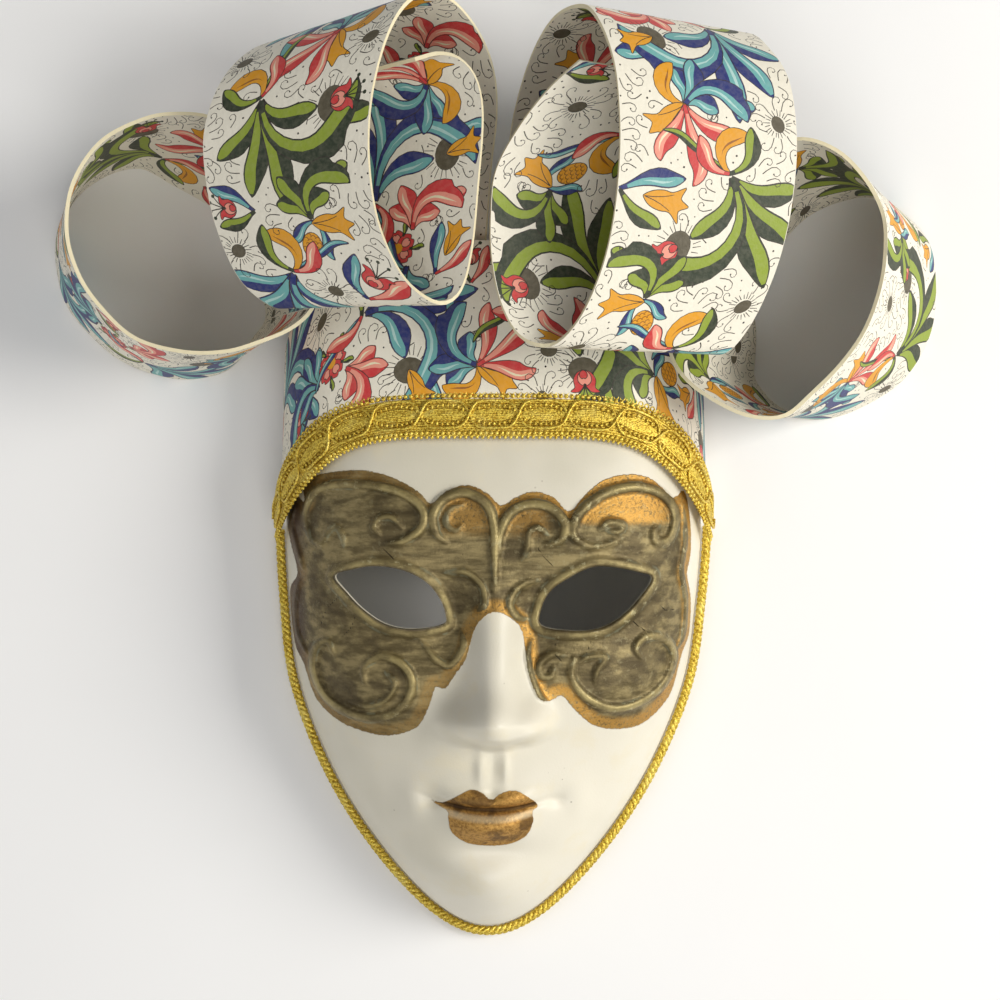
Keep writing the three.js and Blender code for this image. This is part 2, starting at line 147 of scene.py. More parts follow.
# %% Paint
class Paint:
    """A material with one Principled shader and helpers for the nodes that feed it."""

    def __init__(self, name, **fixed):
        self.material = bpy.data.materials.new(name)
        self.material.use_nodes = True
        self.tree = self.material.node_tree
        self.tree.nodes.clear()
        values = {label.replace("_", " "): value for label, value in fixed.items()}
        self.shader = self.node("ShaderNodeBsdfPrincipled", {}, values)
        self.node("ShaderNodeOutputMaterial", {}, {"Surface": self.shader.outputs["BSDF"]})
        self.place = self.node("ShaderNodeTexCoord").outputs["Object"]

    def link(self, value, socket):
        """Wires a signal or a socket to a socket, or sets the socket to a plain value."""
        if isinstance(value, Signal):
            value = value.socket
        if isinstance(value, bpy.types.NodeSocket):
            self.tree.links.new(value, socket)
        else:
            socket.default_value = value

    def node(self, kind, settings=None, inputs=None):
        """Any node: its settings first, then the values or links of its sockets."""
        made = self.tree.nodes.new(kind)
        for name, value in (settings or {}).items():
            setattr(made, name, value)
        for name, value in (inputs or {}).items():
            self.link(value, made.inputs[name])
        return made

    def math(self, operation, *values):
        """A Math node on signals or numbers."""
        node = self.node("ShaderNodeMath", {"operation": operation}, dict(enumerate(values)))
        return Signal(self, node.outputs[0])

    def noise(self, scale, detail=3.0, roughness=0.55, stretch=None):
        """Noise between about 0.3 and 0.7; scale is in blobs per metre."""
        place = self.place
        if stretch:
            place = self.node("ShaderNodeMapping", {}, {"Vector": place, "Scale": stretch}).outputs[0]
        inputs = {"Vector": place, "Scale": scale, "Detail": detail, "Roughness": roughness}
        return Signal(self, self.node("ShaderNodeTexNoise", {}, inputs).outputs[0])

    def cells(self, scale):
        """The distance to the nearest of many scattered points, in cells."""
        node = self.node("ShaderNodeTexVoronoi", {}, {"Vector": self.place, "Scale": scale})
        return Signal(self, node.outputs["Distance"])

    def field(self, name):
        """A number kept at each point of the mesh."""
        return Signal(self, self.node("ShaderNodeAttribute", {"attribute_name": name}).outputs["Fac"])

    def mix(self, factor, first, second):
        """One colour where the factor is 0 and another where it is 1."""
        node = self.node("ShaderNodeMix", {"data_type": "RGBA"}, {0: factor, 6: first, 7: second})
        return node.outputs[2]

    def bump(self, height, depth):
        """A bump of this depth in metres, on the shader's normal."""
        node = self.node("ShaderNodeBump", {}, {"Height": height, "Distance": depth, "Strength": 1.0})
        self.link(node.outputs[0], self.shader.inputs["Normal"])

    def feed(self, **inputs):
        """What feeds the shader, by the names of its sockets."""
        for name, value in inputs.items():
            self.link(value, self.shader.inputs[name.replace("_", " ")])


# %% Tones and the floor
SCREEN_GAMMA = 2.2
FLOOR_REACH = 3


def tone(red, green, blue):
    """A colour as a screen shows it, 0 to 255, turned into light."""
    return tuple((part / 255) ** SCREEN_GAMMA for part in (red, green, blue)) + (1.0,)


floor_paint = Paint("floor", Roughness=0.75)
speckle = floor_paint.noise(9, 4)
floor_paint.feed(Base_Color=floor_paint.mix(speckle, tone(244, 243, 241), tone(250, 250, 249)))
floor_mesh = bpy.data.meshes.new("floor")
corners = [(x * FLOOR_REACH, y * FLOOR_REACH, 0) for x, y in ((-1, -1), (1, -1), (1, 1), (-1, 1))]
floor_mesh.from_pydata(corners, [], [(0, 1, 2, 3)])
floor = bpy.data.objects.new("floor", floor_mesh)
floor_mesh.materials.append(floor_paint.material)
scene.collection.objects.link(floor)
print("floor laid,", 2 * FLOOR_REACH, "m wide")

# %% [markdown]
# ## The face as a height over the table
# A slip-cast face can be written as one height for each place on the table: a blunt dome over the outline
# of the rim, plus soft bells for sockets, cheeks and chin, plus a nose and a mouth. A formula keeps every
# feature where it was measured, and gives the wall its inner side too. Sculpting by hand would look as good,
# but nothing could be moved afterwards without doing it again.

# %% Sizes of the shell, in millimetres
WALL = 3.0
FACE_DEPTH = 37.0
BROW_Y = -44.5
EYE_Y = -59.5
NOSE_ROOT_Y = -55.5
NOSE_TIP_Y = -82.7
LIP_LINE_Y = -103.4
CHIN_Y = -122.5
DOME_CENTRE = (0.0, -66.5)
# The right half of the rim from the forehead to the chin, before the lean
HALF_OUTLINE = [
    (0, 1.5), (17, 0.6), (33, -4), (42.8, -14), (47.2, -27), (48.2, -41),
    (47, -60.5), (44.3, -79), (36, -99.5), (24.6, -117), (11.4, -130.6), (0, -135.2),
]
# The outline moves aside by this much for each millimetre below the height LEAN_Y
LEAN = 0.0135
LEAN_Y = -15.0
LEFT_EYE = [
    (-34.7, -53), (-30.6, -51.4), (-25.1, -50.6), (-19.4, -51.5), (-14.9, -53.8), (-12, -57.2),
    (-10.6, -61), (-11.2, -63.2), (-17.8, -64.2), (-23.6, -63.2), (-28.4, -60.2), (-32, -56.6),
]
RIGHT_EYE = [
    (34, -53.4), (30.6, -51.9), (25.1, -50.8), (20.6, -50.8), (15.9, -53), (12, -55.8),
    (10, -59.6), (10, -63.4), (16.2, -64.5), (22, -64.2), (26.8, -62), (31, -58),
]


# %% Smooth curves and smooth steps
def route(points, closed=False, per_span=8):
    """Points of a smooth curve through the given ones, in any number of dimensions."""
    given = np.array(points, float)
    if closed:
        padded = np.vstack([given[-1], given, given[0], given[1]])
    else:
        padded = np.vstack([2 * given[0] - given[1], given, 2 * given[-1] - given[-2]])
    t = (np.arange(per_span) / per_span)[:, None]
    spans = []
    for a, b, c, d in zip(padded, padded[1:], padded[2:], padded[3:]):
        rise, bend, twist = c - a, 2 * a - 5 * b + 4 * c - d, 3 * b - 3 * c + d - a
        spans.append(0.5 * (2 * b + rise * t + bend * t**2 + twist * t**3))
    curve = np.vstack(spans)
    return curve if closed else np.vstack([curve, given[-1]])


def ramp(low, high, value):
    """0 up to low, 1 from high on, and a smooth rise between."""
    t = np.clip((value - low) / (high - low), 0, 1)
    return t * t * (3 - 2 * t)


def bell(x, y, cx, cy, wx, wy):
    """A soft hill of height 1 with its middle at cx, cy."""
    return np.exp(-(((x - cx) / wx) ** 2) - ((y - cy) / wy) ** 2)


def bells(x, y, cx, cy, wx, wy):
    """The same hill on both halves of the face."""
    return bell(x, y, cx, cy, wx, wy) + bell(x, y, -cx, cy, wx, wy)


# %% Distances to curves and outlines
def to_route(x, y, curve, closed=False):
    """For each place, the distance to a curve and how far along it the nearest point is, 0 to 1."""
    ends = np.vstack([curve, curve[:1]]) if closed else curve
    best = np.full(x.shape, 1e9)
    along = np.zeros(x.shape)
    for i, (a, b) in enumerate(zip(ends, ends[1:])):
        run = b - a
        size = max(run @ run, 1e-12)
        t = np.clip(((x - a[0]) * run[0] + (y - a[1]) * run[1]) / size, 0, 1)
        far = np.hypot(x - a[0] - t * run[0], y - a[1] - t * run[1])
        closer = far < best
        best[closer] = far[closer]
        along[closer] = (i + t[closer]) / (len(ends) - 1)
    return best, along


def inside_polygon(x, y, polygon):
    """True where a place lies inside: a line from it to the right crosses an odd number of edges."""
    inside = np.zeros(x.shape, bool)
    for (ax, ay), (bx, by) in zip(polygon, np.roll(polygon, -1, axis=0)):
        crosses = (ay > y) != (by > y)
        with np.errstate(divide="ignore", invalid="ignore"):
            inside ^= crosses & (x < (bx - ax) * (y - ay) / (by - ay) + ax)
    return inside


def depth_inside(x, y, polygon):
    """Distance to a polygon's edge, positive inside."""
    far, _ = to_route(x, y, polygon, closed=True)
    return np.where(inside_polygon(x, y, polygon), far, -far)


# %% The rim's outline
def lean_at(y):
    """The real face leans a little, so its lower part lies further left."""
    return LEAN * (y - LEAN_Y)


def whole_outline(per_span):
    """The right half of the outline, its mirror image, and the lean."""
    both = HALF_OUTLINE + [(-x, y) for x, y in HALF_OUTLINE[-2:0:-1]]
    return route([(x + lean_at(y), y) for x, y in both], closed=True, per_span=per_span)


outline = whole_outline(24)
outline_turn = np.arctan2(outline[:, 0] - DOME_CENTRE[0], outline[:, 1] - DOME_CENTRE[1])
outline_reach = np.hypot(outline[:, 0] - DOME_CENTRE[0], outline[:, 1] - DOME_CENTRE[1])
turn_order = np.argsort(outline_turn)


def share_out(x, y, inset=0.0):
    """0 at the dome's middle and 1 at its rim, or at the rim less an inset."""
    dx, dy = x - DOME_CENTRE[0], y - DOME_CENTRE[1]
    turns, reaches = outline_turn[turn_order], outline_reach[turn_order]
    reach = np.interp(np.arctan2(dx, dy), turns, reaches, period=2 * math.pi)
    return np.minimum(np.hypot(dx, dy) / (reach - inset), 1)


print("the rim is", [round(float(size), 1) for size in np.ptp(outline, axis=0)], "mm wide and long")

# %% Soft forms of the face, in millimetres
# Each has its height, its middle and its reach across and along. The paired ones stand on both halves.
PAIRED_FORMS = {
    "eye sockets": (-2.6, 20, EYE_Y, 13, 9),
    "inner corners of the eyes": (-2.6, 9.2, EYE_Y - 1, 4.6, 7.5),
    "brows": (1.0, 21, BROW_Y, 15, 7),
    "cheekbones": (1.3, 27, -78.5, 9, 8),
    "hollow cheeks": (-1.4, 23, -100.5, 8, 11),
}
MIDDLE_FORMS = {
    "dip under the lip": (-2.0, -0.8, CHIN_Y + 9, 9, 3.2),
    "chin": (3.2, -0.5, CHIN_Y, 10, 6.5),
}
FINE_MIDDLE_FORMS = {
    "left ridge of the philtrum": (0.75, -3.1, -94.4, 1.2, 3.6),
    "right ridge of the philtrum": (0.75, 2.3, -94.4, 1.0, 3.6),
    "groove of the philtrum": (-0.5, -0.5, -94.2, 1.2, 4.0),
}
FINE_PAIRED_FORMS = {
    "dips beside the mouth": (-0.9, 14, -101.7, 3, 3.2),
    "swells beside the mouth": (0.7, 18.5, -103, 3, 5),
    "nostrils": (-0.8, 4.6, -88.6, 2.0, 1.3),
}


def total_of(forms, kind, x, y):
    """The heights of several soft forms, added up."""
    return sum(height * kind(x, y, *place) for height, *place in forms.values())


def soft_forms(x, y):
    """The broad forms, which the inner side of the wall follows too."""
    return total_of(PAIRED_FORMS, bells, x, y) + total_of(MIDDLE_FORMS, bell, x, y)


def fine_forms(x, y):
    """The small forms, which only the front has."""
    return total_of(FINE_MIDDLE_FORMS, bell, x, y) + total_of(FINE_PAIRED_FORMS, bells, x, y)


# %% Dome, nose and mouth
NOSE_LONG = 28
UNDER_NOSE = (86.1, 90.9)
BROW_TO_NOSE = (44.5, 58.5)
DOME_FALL = (-51.5, -96.5)
CHIN_LOWER = 4


def dome(share, y, inset):
    """A blunt dome that is lower at the chin than at the forehead."""
    return (FACE_DEPTH - inset - CHIN_LOWER * ramp(*DOME_FALL, y)) * (1 - share**3.3) ** 0.52


def nose(x, y):
    """A ridge that widens downwards, a ball at its tip, two wings and a sharp underside."""
    along = np.clip((NOSE_ROOT_Y - y) / NOSE_LONG, 0, 1)
    wide = 4 + 2.8 * along**1.5
    ridge = (0.8 + 10.2 * along**1.35) * np.exp(-(np.abs(x / wide) ** 2.2))
    ball = 3.6 * bell(x, y, -0.3, NOSE_TIP_Y, 5.6, 5)
    wings = 5.6 * bells(x, y, 7.6, NOSE_TIP_Y - 1.8, 3.9, 4.6)
    under = 1 - ramp(*UNDER_NOSE, 0.016 * x * x - y)
    return (ridge * ramp(*BROW_TO_NOSE, -y) + ball + wings) * under


def lip_line(x):
    """The line between the lips, which rises a little towards the corners."""
    return LIP_LINE_Y + 0.012 * (x + 1) ** 2


def mouth(x, y):
    """Two lips, the groove between them, the dip of the bow and the corners."""
    line = lip_line(x)
    upper_wide = np.exp(-(np.abs((x + 0.9) / 8.8) ** 3.4))
    lower_wide = np.exp(-(np.abs((x + 1.3) / 8.2) ** 3.2))
    upper = 2.2 * upper_wide * np.exp(-(((y - line - 2.0) / 1.9) ** 2))
    lower = 3.2 * lower_wide * np.exp(-(((y - line + 3.7) / 3.1) ** 2))
    groove = 1.5 * np.exp(-(((y - line) / 0.75) ** 2) - (np.abs(x + 1) / 12.5) ** 4)
    bow = 0.9 * bell(x, y, -0.7, LIP_LINE_Y + 3.4, 1.5, 1.1)
    corners = 0.9 * (bell(x, y, -13.6, -102.2, 1.8, 1.3) + bell(x, y, 13.0, -102.0, 2.2, 1.2))
    return upper + lower - groove - bow - corners


# %% Outer and inner height
def outer_height(x, y):
    """The front of the face over the table."""
    share = share_out(x, y)
    forms = soft_forms(x, y) + nose(x, y) + mouth(x, y) + fine_forms(x, y)
    return dome(share, y, 0) + (1 - share**6) * forms


def inner_height(x, y):
    """The hollow side: lower by the wall, with a nose that is narrower, flatter and higher up."""
    share = share_out(x, y, WALL)
    return dome(share, y, WALL) + (1 - share**6) * (soft_forms(x, y) + 0.6 * nose(1.4 * x, y - WALL))


nose_tip = outer_height(np.array([0.0]), np.array([NOSE_TIP_Y]))[0]
print("nose tip stands", round(float(nose_tip), 1), "mm high")

# %% [markdown]
# ## The piped scrolls
# On the real mask the scrolls are piped on with slip, like icing, and then painted with the rest of the
# band. Each is a route over the face with a width and a height; the ends are thinner and roll up. The height
# of a roll at any place depends only on the distance to its route, so all rolls are one more height to add.

# %% Routes of the scrolls, in millimetres
SCROLLS = [
    # width, height, points of the route from one end to the other
    (2.5, 1.5, [(-40.6, -45.2), (-42, -39.6), (-38.6, -34.2), (-30, -33.1), (-21, -34.6), (-15.6, -38.2),
                (-15.6, -42.4), (-19.5, -45.2), (-23, -45.8)]),
    (1.9, 1.2, [(-24.6, -43.9), (-25.9, -42.2), (-24.6, -40.4), (-22.0, -40.2), (-19.6, -42.6)]),
    (1.7, 1.0, [(-40.6, -45.2), (-38, -46), (-36.2, -43.5), (-34.2, -42.4), (-32.9, -44.3), (-32.5, -46.6)]),
    (2.6, 1.6, [(0, -56), (0, -48.6), (-0.2, -42), (-1.8, -37.4), (-6.5, -34.9), (-10.9, -36.3),
                (-13.1, -39.8), (-12.4, -43.6), (-10.4, -45.4)]),
    (1.6, 0.9, [(-6.6, -37.4), (-9.4, -38.4), (-10.4, -41.2), (-8.4, -43.0), (-6.8, -41.6)]),
    (2.6, 1.6, [(0.8, -48.6), (1.2, -43.4), (3.4, -39.2), (7.6, -37.4), (12, -38.3), (14.9, -41.5),
                (14.1, -44.9), (10.8, -46.2)]),
    (1.8, 1.1, [(11.4, -44), (9, -42.3), (7.2, -43.6), (7, -46.4), (5.8, -49.3)]),
    (2.6, 1.6, [(20.2, -46.1), (17.2, -44.8), (16.7, -42), (19, -38.2), (24.4, -34.8), (31, -33.7),
                (36.8, -35.6), (39.6, -40), (38.2, -44.8), (35.2, -45.6), (34.4, -43.4), (35.8, -42.2)]),
    (1.6, 1.0, [(17.3, -45.2), (20.1, -46.4), (23.8, -46.0), (27.6, -44.4)]),
    (2.0, 1.2, [(22.4, -42.9), (24.3, -41.3), (27.4, -41.8), (26.4, -43.3), (23.6, -42.9)]),
    (2.5, 1.5, [(-35.3, -69.6), (-36.6, -67.2), (-39.6, -69), (-40.4, -74.2), (-37.4, -80), (-30.7, -83.3),
                (-24.4, -83.4), (-19.4, -80.4), (-17.6, -75.6), (-19.8, -71.6), (-24.2, -70), (-28, -72.2),
                (-28.2, -75.6)]),
    (1.8, 1.1, [(-31.4, -80.4), (-27.0, -81.0), (-23.2, -79.2), (-21.4, -75.8), (-23.6, -73.4)]),
    (2.5, 1.5, [(17, -70.2), (16.5, -74.4), (19.5, -78.7), (25.4, -81.5), (32, -80.5), (37.4, -77),
                (39.8, -71.4), (37.4, -67), (33, -66.2), (30.6, -68.4), (31.8, -70.8)]),
    (1.8, 1.1, [(17.4, -71.4), (20.3, -70.1), (23.8, -70.2), (22.0, -73.0), (21.4, -76.0)]),
    (2.0, 1.2, [(-10.6, -52), (-6.2, -51.9), (-2.8, -54.6), (-2.2, -58.4), (-3.8, -60.2)]),
    (2.0, 1.2, [(9.6, -53.6), (5.6, -54.8), (3.3, -58.2), (4.6, -61.2), (6.8, -62)]),
    (2.0, 1.2, [(-7.3, -64.4), (-6.8, -67.6), (-9.4, -71.6), (-12.2, -70.8), (-15.6, -66.9)]),
    (2.0, 1.2, [(15.4, -69.8), (12.2, -69.4), (9.7, -71.4), (9.9, -74), (12, -74.2), (12.6, -72.2)]),
    (1.7, 1.0, [(7.8, -66.3), (7.1, -69.9), (8.1, -74.4), (9.6, -78.1), (11.2, -79.4)]),
    (1.8, 1.1, [(-44.6, -37.5), (-46.0, -41.5), (-44.2, -47.5), (-42.6, -51.6)]),
    (1.8, 1.1, [(-43.6, -54.4), (-45.3, -60.1), (-44.8, -66.2), (-42.2, -70.4)]),
    (1.8, 1.1, [(41.6, -37.6), (42.2, -44.9), (41.2, -51.9), (42.6, -59), (42.2, -66.4), (40.6, -69.6)]),
]
# Half the width of an eye's rim, and its height
EYE_RIM = (2.3, 1.5)

# The edge of the painted band, clockwise from the left temple
BAND_EDGE = [
    (-42.2, -36.9), (-42.6, -32.1), (-35.9, -30.4), (-28.2, -30), (-21.4, -31.8), (-16, -34.8),
    (-13.6, -37.2), (-10.6, -34.6), (-5.9, -33.2), (-1.5, -35), (1.3, -37.6), (4.3, -35.9), (8.4, -34.6),
    (12.8, -36), (15.8, -38.9), (19.3, -35.2), (23.6, -32), (29.6, -30.8), (34.7, -32.2), (39, -35.9),
    (42, -34.3), (43.6, -40.9), (43.8, -48.6), (42.8, -52.9), (44.2, -58.6), (44.2, -66.5), (42.4, -70.2),
    (41.1, -74.2), (39.1, -80.5), (33.2, -85.5), (27.6, -86.5), (21.4, -85.3), (16.8, -81.3),
    (14.4, -78.5), (11.8, -79.5), (9.4, -78.9), (7.4, -74.6), (6.6, -70.6), (6.2, -66.8), (5.2, -63.4),
    (2.2, -60.9), (-0.6, -60.4), (-3.2, -62.4), (-4.6, -65.2), (-6.1, -70.5), (-8.1, -73.4),
    (-10.6, -76.9), (-12.6, -76.6), (-13.9, -80.3), (-16.6, -85.4), (-22.7, -87.6), (-28.3, -87.1),
    (-34.6, -85.2), (-40.2, -80.8), (-43, -73.4), (-45.9, -69), (-47.2, -61), (-46.6, -56.1),
    (-44.2, -52.6), (-46.4, -45.8), (-47.6, -40.2), (-45.6, -34.2),
]
LIPS_EDGE = [
    (-14.6, -101.6), (-11.6, -102.2), (-8.2, -100.2), (-5.2, -98.8), (-2.8, -99.4), (-0.8, -100.8),
    (1.6, -99.4), (4.4, -99), (7.2, -100.4), (9.4, -102.7), (8.2, -104), (8.4, -106.1), (7.0, -109.4),
    (3.4, -111.4), (-1.3, -111.9), (-6.1, -111.2), (-9.4, -108.8), (-10.2, -105.8), (-10.4, -103.9),
    (-12.6, -102.9),
]
CRACKS = [
    [(-33.8, -57.4), (-36.8, -60.6), (-38.4, -64.6)], [(-30.0, -61.2), (-31.2, -64.2), (-33.4, -66.2)],
    [(13.4, -66.2), (12.6, -68.8), (14.2, -71)], [(29.6, -62.6), (33.0, -65.0), (36.8, -65.4)],
    [(33.6, -57.2), (37.4, -60.6), (40.6, -60.2)], [(20.8, -66.4), (19.4, -70)],
    [(-9.0, -50.4), (-6.6, -47.8)], [(-21.4, -49.2), (-24.2, -46.6)],
    [(12.4, -50.6), (9.4, -47.2), (9.2, -44.8)],
]
print(len(SCROLLS), "scrolls and", len(CRACKS), "hairline cracks")


# %% Heights of the rolls
END_SLIM = 0.45


def roll(x, y, curve, width, height, closed=False):
    """A round bead along a curve, thinner towards open ends; 0 away from it."""
    low, high = curve.min(axis=0) - width, curve.max(axis=0) + width
    near = (x > low[0]) & (x < high[0]) & (y > low[1]) & (y < high[1])
    bead = np.zeros(x.shape)
    far, along = to_route(x[near], y[near], curve, closed)
    from_end = np.minimum(1, 5 * np.minimum(along, 1 - along))
    slim = 1.0 if closed else END_SLIM + (1 - END_SLIM) * from_end**0.7
    across = np.clip(far / (0.5 * width * slim), 0, 1)
    bead[near] = height * slim * (1 - across**2.2) ** 0.75
    return bead


def relief(x, y):
    """All the scrolls and both eye rims, blended where they meet."""
    total = np.zeros(x.shape)
    for width, height, points in SCROLLS:
        total = np.maximum(total, roll(x, y, route(points), width, height))
    width, height = EYE_RIM
    for eye in (LEFT_EYE, RIGHT_EYE):
        total = np.maximum(total, roll(x, y, route(eye, closed=True), 2 * width, height, closed=True))
    return total


# %% [markdown]
# ## The shell as a mesh
# The outer skin needs points about 0.45 mm apart for crisp scrolls, but a square grid would not meet the rim
# or the eyes. A constrained triangulation does both: it takes the grid's points, graded rings where the side
# drops to the rim, and the outlines of rim and eyes as edges that it must keep. The inner skin is coarser,
# and strips of wall join the two round the eyes and along the flat back rim.

# %% Triangulate a skin over the table
FINE_GRID = 0.45
COARSE_GRID = 1.5
GRID_ACROSS = (-51, 51)
GRID_ALONG = (-138, 2)
FACE_HALF = 50
RIM_SHARES = [0.968, 0.976, 0.983, 0.9885, 0.993, 0.9965, 0.999]
EYE_CLEARANCE = 0.45
eye_loops = [route(eye, closed=True, per_span=5) for eye in (LEFT_EYE, RIGHT_EYE)]


def rim_loop(inset, share):
    """The rim's outline drawn in by an inset and then to a share of the way out."""
    centre = np.array(DOME_CENTRE)
    arms = outline - centre
    size = np.hypot(arms[:, 0], arms[:, 1])[:, None]
    return centre + arms * (size - inset) / size * share


def grid_inside(inset, pitch):
    """Points of a square grid inside the first ring and outside the eyes."""
    gx, gy = [g.ravel() for g in np.meshgrid(np.arange(*GRID_ACROSS, pitch), np.arange(*GRID_ALONG, pitch))]
    keep = share_out(gx, gy, inset) < RIM_SHARES[0] - 0.4 * pitch / FACE_HALF
    for loop in eye_loops:
        keep &= depth_inside(gx, gy, loop) < -EYE_CLEARANCE * pitch
    return np.column_stack([gx[keep], gy[keep]])


def skin(inset, pitch, thinning):
    """Points in the plane, triangles over the face, and the indices of rim and eye loops."""
    loops = [rim_loop(inset, 1.0)[::thinning]] + eye_loops
    rings = [rim_loop(inset, share)[::thinning] for share in RIM_SHARES]
    points = np.vstack(loops + rings + [grid_inside(inset, pitch)])
    edges, spans, start = [], [], 0
    for loop in loops:
        ids = np.arange(start, start + len(loop))
        edges += list(zip(ids.tolist(), np.roll(ids, -1).tolist()))
        spans.append(ids)
        start += len(loop)
    made = delaunay_2d_cdt([Vector(p) for p in points.tolist()], edges, [], 0, 1e-6, True)
    assert len(made[0]) == len(points), "the triangulation merged or added points"
    order = np.empty(len(points), int)
    for new, old in enumerate(made[3]):
        order[new] = old[0]
    triangles = order[np.array([list(t) for t in made[2]])]
    middles = points[triangles].mean(axis=1)
    hole = np.zeros(len(triangles), bool)
    for loop in eye_loops:
        hole |= inside_polygon(middles[:, 0], middles[:, 1], loop)
    return points, triangles[~hole], spans


front, front_faces, front_loops = skin(0, FINE_GRID, 1)
back, back_faces, back_loops = skin(WALL, COARSE_GRID, 2)
print("front skin", len(front_faces), "triangles; back skin", len(back_faces))

# %% Lift both skins to their heights
SIDE_LIFT = 0.9
STEEPEST = 0.97
EYE_EDGE_DROP = 0.35
fx, fy = front.T
bead = relief(fx, fy)
steep = np.clip(share_out(fx, fy), 0, STEEPEST)
front_z = outer_height(fx, fy) + bead * (1 + SIDE_LIFT * steep**8)
front_z[front_loops[0]] = 0
front_z[np.concatenate(front_loops[1:])] -= EYE_EDGE_DROP
back_z = inner_height(*back.T)
back_z[back_loops[0]] = 0
print("heights of front and hollow:", [round(float(z.max()), 1) for z in (front_z, back_z)], "mm")


# %% Meshes from points and faces
def mesh_object(name, points, faces):
    """A smooth mesh from points in millimetres, and its object at the origin."""
    mesh = bpy.data.meshes.new(name)
    mesh.vertices.add(len(points))
    mesh.vertices.foreach_set("co", (np.asarray(points, float) * MM).ravel())
    mesh.loops.add(faces.size)
    mesh.loops.foreach_set("vertex_index", faces.ravel())
    mesh.polygons.add(len(faces))
    mesh.polygons.foreach_set("loop_start", np.arange(0, faces.size, faces.shape[1]))
    mesh.update(calc_edges=True)
    mesh.validate()
    mesh.polygons.foreach_set("use_smooth", np.full(len(mesh.polygons), True))
    made = bpy.data.objects.new(name, mesh)
    scene.collection.objects.link(made)
    return made


def add_field(mesh, name, values):
    """A number at each point of a mesh, for the paint or a node tree to read."""
    field = mesh.attributes.new(name, "FLOAT", "POINT")
    field.data.foreach_set("value", np.asarray(values, np.float32))


def strip(first, second):
    """Two triangles between each pair of neighbours of two closed loops with as many points."""
    a, b = np.array(first), np.array(second)
    an, bn = np.roll(a, -1), np.roll(b, -1)
    return np.vstack([np.column_stack([a, an, bn]), np.column_stack([a, bn, b])])


# %% Join the skins into one shell
offset = len(front)
shell_points = np.vstack([np.column_stack([front, front_z]), np.column_stack([back, back_z])])
shell_faces = [front_faces, back_faces[:, ::-1] + offset]
for front_ids, back_ids in zip(front_loops[1:], back_loops[1:]):
    shell_faces.append(strip(front_ids, back_ids + offset))
rim_back = np.repeat(back_loops[0] + offset, 2)
shell_faces.append(strip(rim_back, front_loops[0]))
shell_faces = np.vstack(shell_faces)
a, b, c = shell_faces.T
shell_faces = shell_faces[(a != b) & (b != c) & (a != c)]
mask = mesh_object("mask_ceramic", shell_points, shell_faces)
print("mask shell", len(mask.data.polygons), "triangles")

# %% Keep the distances that the paint needs
FAR = 20.0


def nearest_of(curves, closed=False):
    """The distance from each point of the front to the nearest of several curves."""
    return np.minimum.reduce([to_route(fx, fy, curve, closed)[0] for curve in curves])


fields = {
    # values on the front, value behind
    "band": (depth_inside(fx, fy, route(BAND_EDGE, closed=True, per_span=3)), -FAR),
    "lips": (depth_inside(fx, fy, route(LIPS_EDGE, closed=True, per_span=4)), -FAR),
    "bead": (bead, 0.0),
    "crack": (nearest_of([route(points) for points in CRACKS]), FAR),
    "eye": (nearest_of(eye_loops, closed=True), FAR),
    "mouth": (fy - lip_line(fx), FAR),
}
for name, (values, behind) in fields.items():
    add_field(mask.data, name, np.concatenate([values, np.full(len(back), behind)]))
print("fields on the shell:", list(fields))
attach(mask, "root")
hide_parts("mask_shell")

# %% [markdown]
# ## The finish of the ceramic
# The face has a thin ivory paint with a soft sheen, faintly mottled, with a few specks. The band round the
# eyes is bronze paint: dull and greenish in the hollows, rubbed to a pale gold on the rolls with a painted
# highlight on their crests, and bright like copper leaf between the outer scrolls and the painted edge, the
# leaf made stronger on the lit right side as painted light. The mesh carries the distances to those edges
# as fields, so the edges stay crisp, and noise breaks them up as a brush does. Painted shade darkens the eye
# walls and the parting of the lips.

# %% Noises and the ivory
ceramic = Paint("ceramic", Specular_IOR_Level=0.45, Coat_Roughness=0.25, Coat_IOR=1.4)
grain = ceramic.noise(2600, 2)
sand = ceramic.noise(1500, 4, 0.7)
patch = ceramic.noise(110, 4, 0.6)
broad = ceramic.noise(28, 3)
brushed = ceramic.noise(300, 4, 0.6, stretch=(0.35, 1.6, 1.0))
specks = ceramic.cells(330).step(0.085, 0.05) * ceramic.noise(75, 1).step(0.56, 0.66)

ivory = ceramic.mix(broad.step(0.35, 0.68), tone(214, 208, 188), tone(228, 222, 204))
ivory = ceramic.mix(patch.step(0.5, 0.72) * 0.35, ivory, tone(226, 214, 180))
ivory = ceramic.mix(specks * 0.55, ivory, tone(120, 105, 85))
print("ivory mixed")

# %% Where the band, its rolls, their wear and their painted highlight are
edge_wobble = (sand - 0.5) * 0.7
in_band = (ceramic.field("band") + edge_wobble).step(0.02, 0.22)
bead_high = ceramic.field("bead")
on_bead = bead_high.step(0.25, 0.9)
crest = bead_high.step(0.8, 1.45)
# Pale gold on the crests of the rolls: partly real rubbing of the paint, partly a painted highlight.
crest_wear_and_highlight = crest * ceramic.noise(120, 4, 0.65).step(0.34, 0.66)
chalk = bead_high.step(0.05, 0.5) * bead_high.step(1.1, 0.6) * ceramic.noise(210, 3).step(0.5, 0.64)
chips = ceramic.noise(620, 4, 0.7).step(0.56, 0.64) * (0.25 + 0.75 * on_bead) * broad.step(0.4, 0.6)
print("band, rolls and wear are masks")
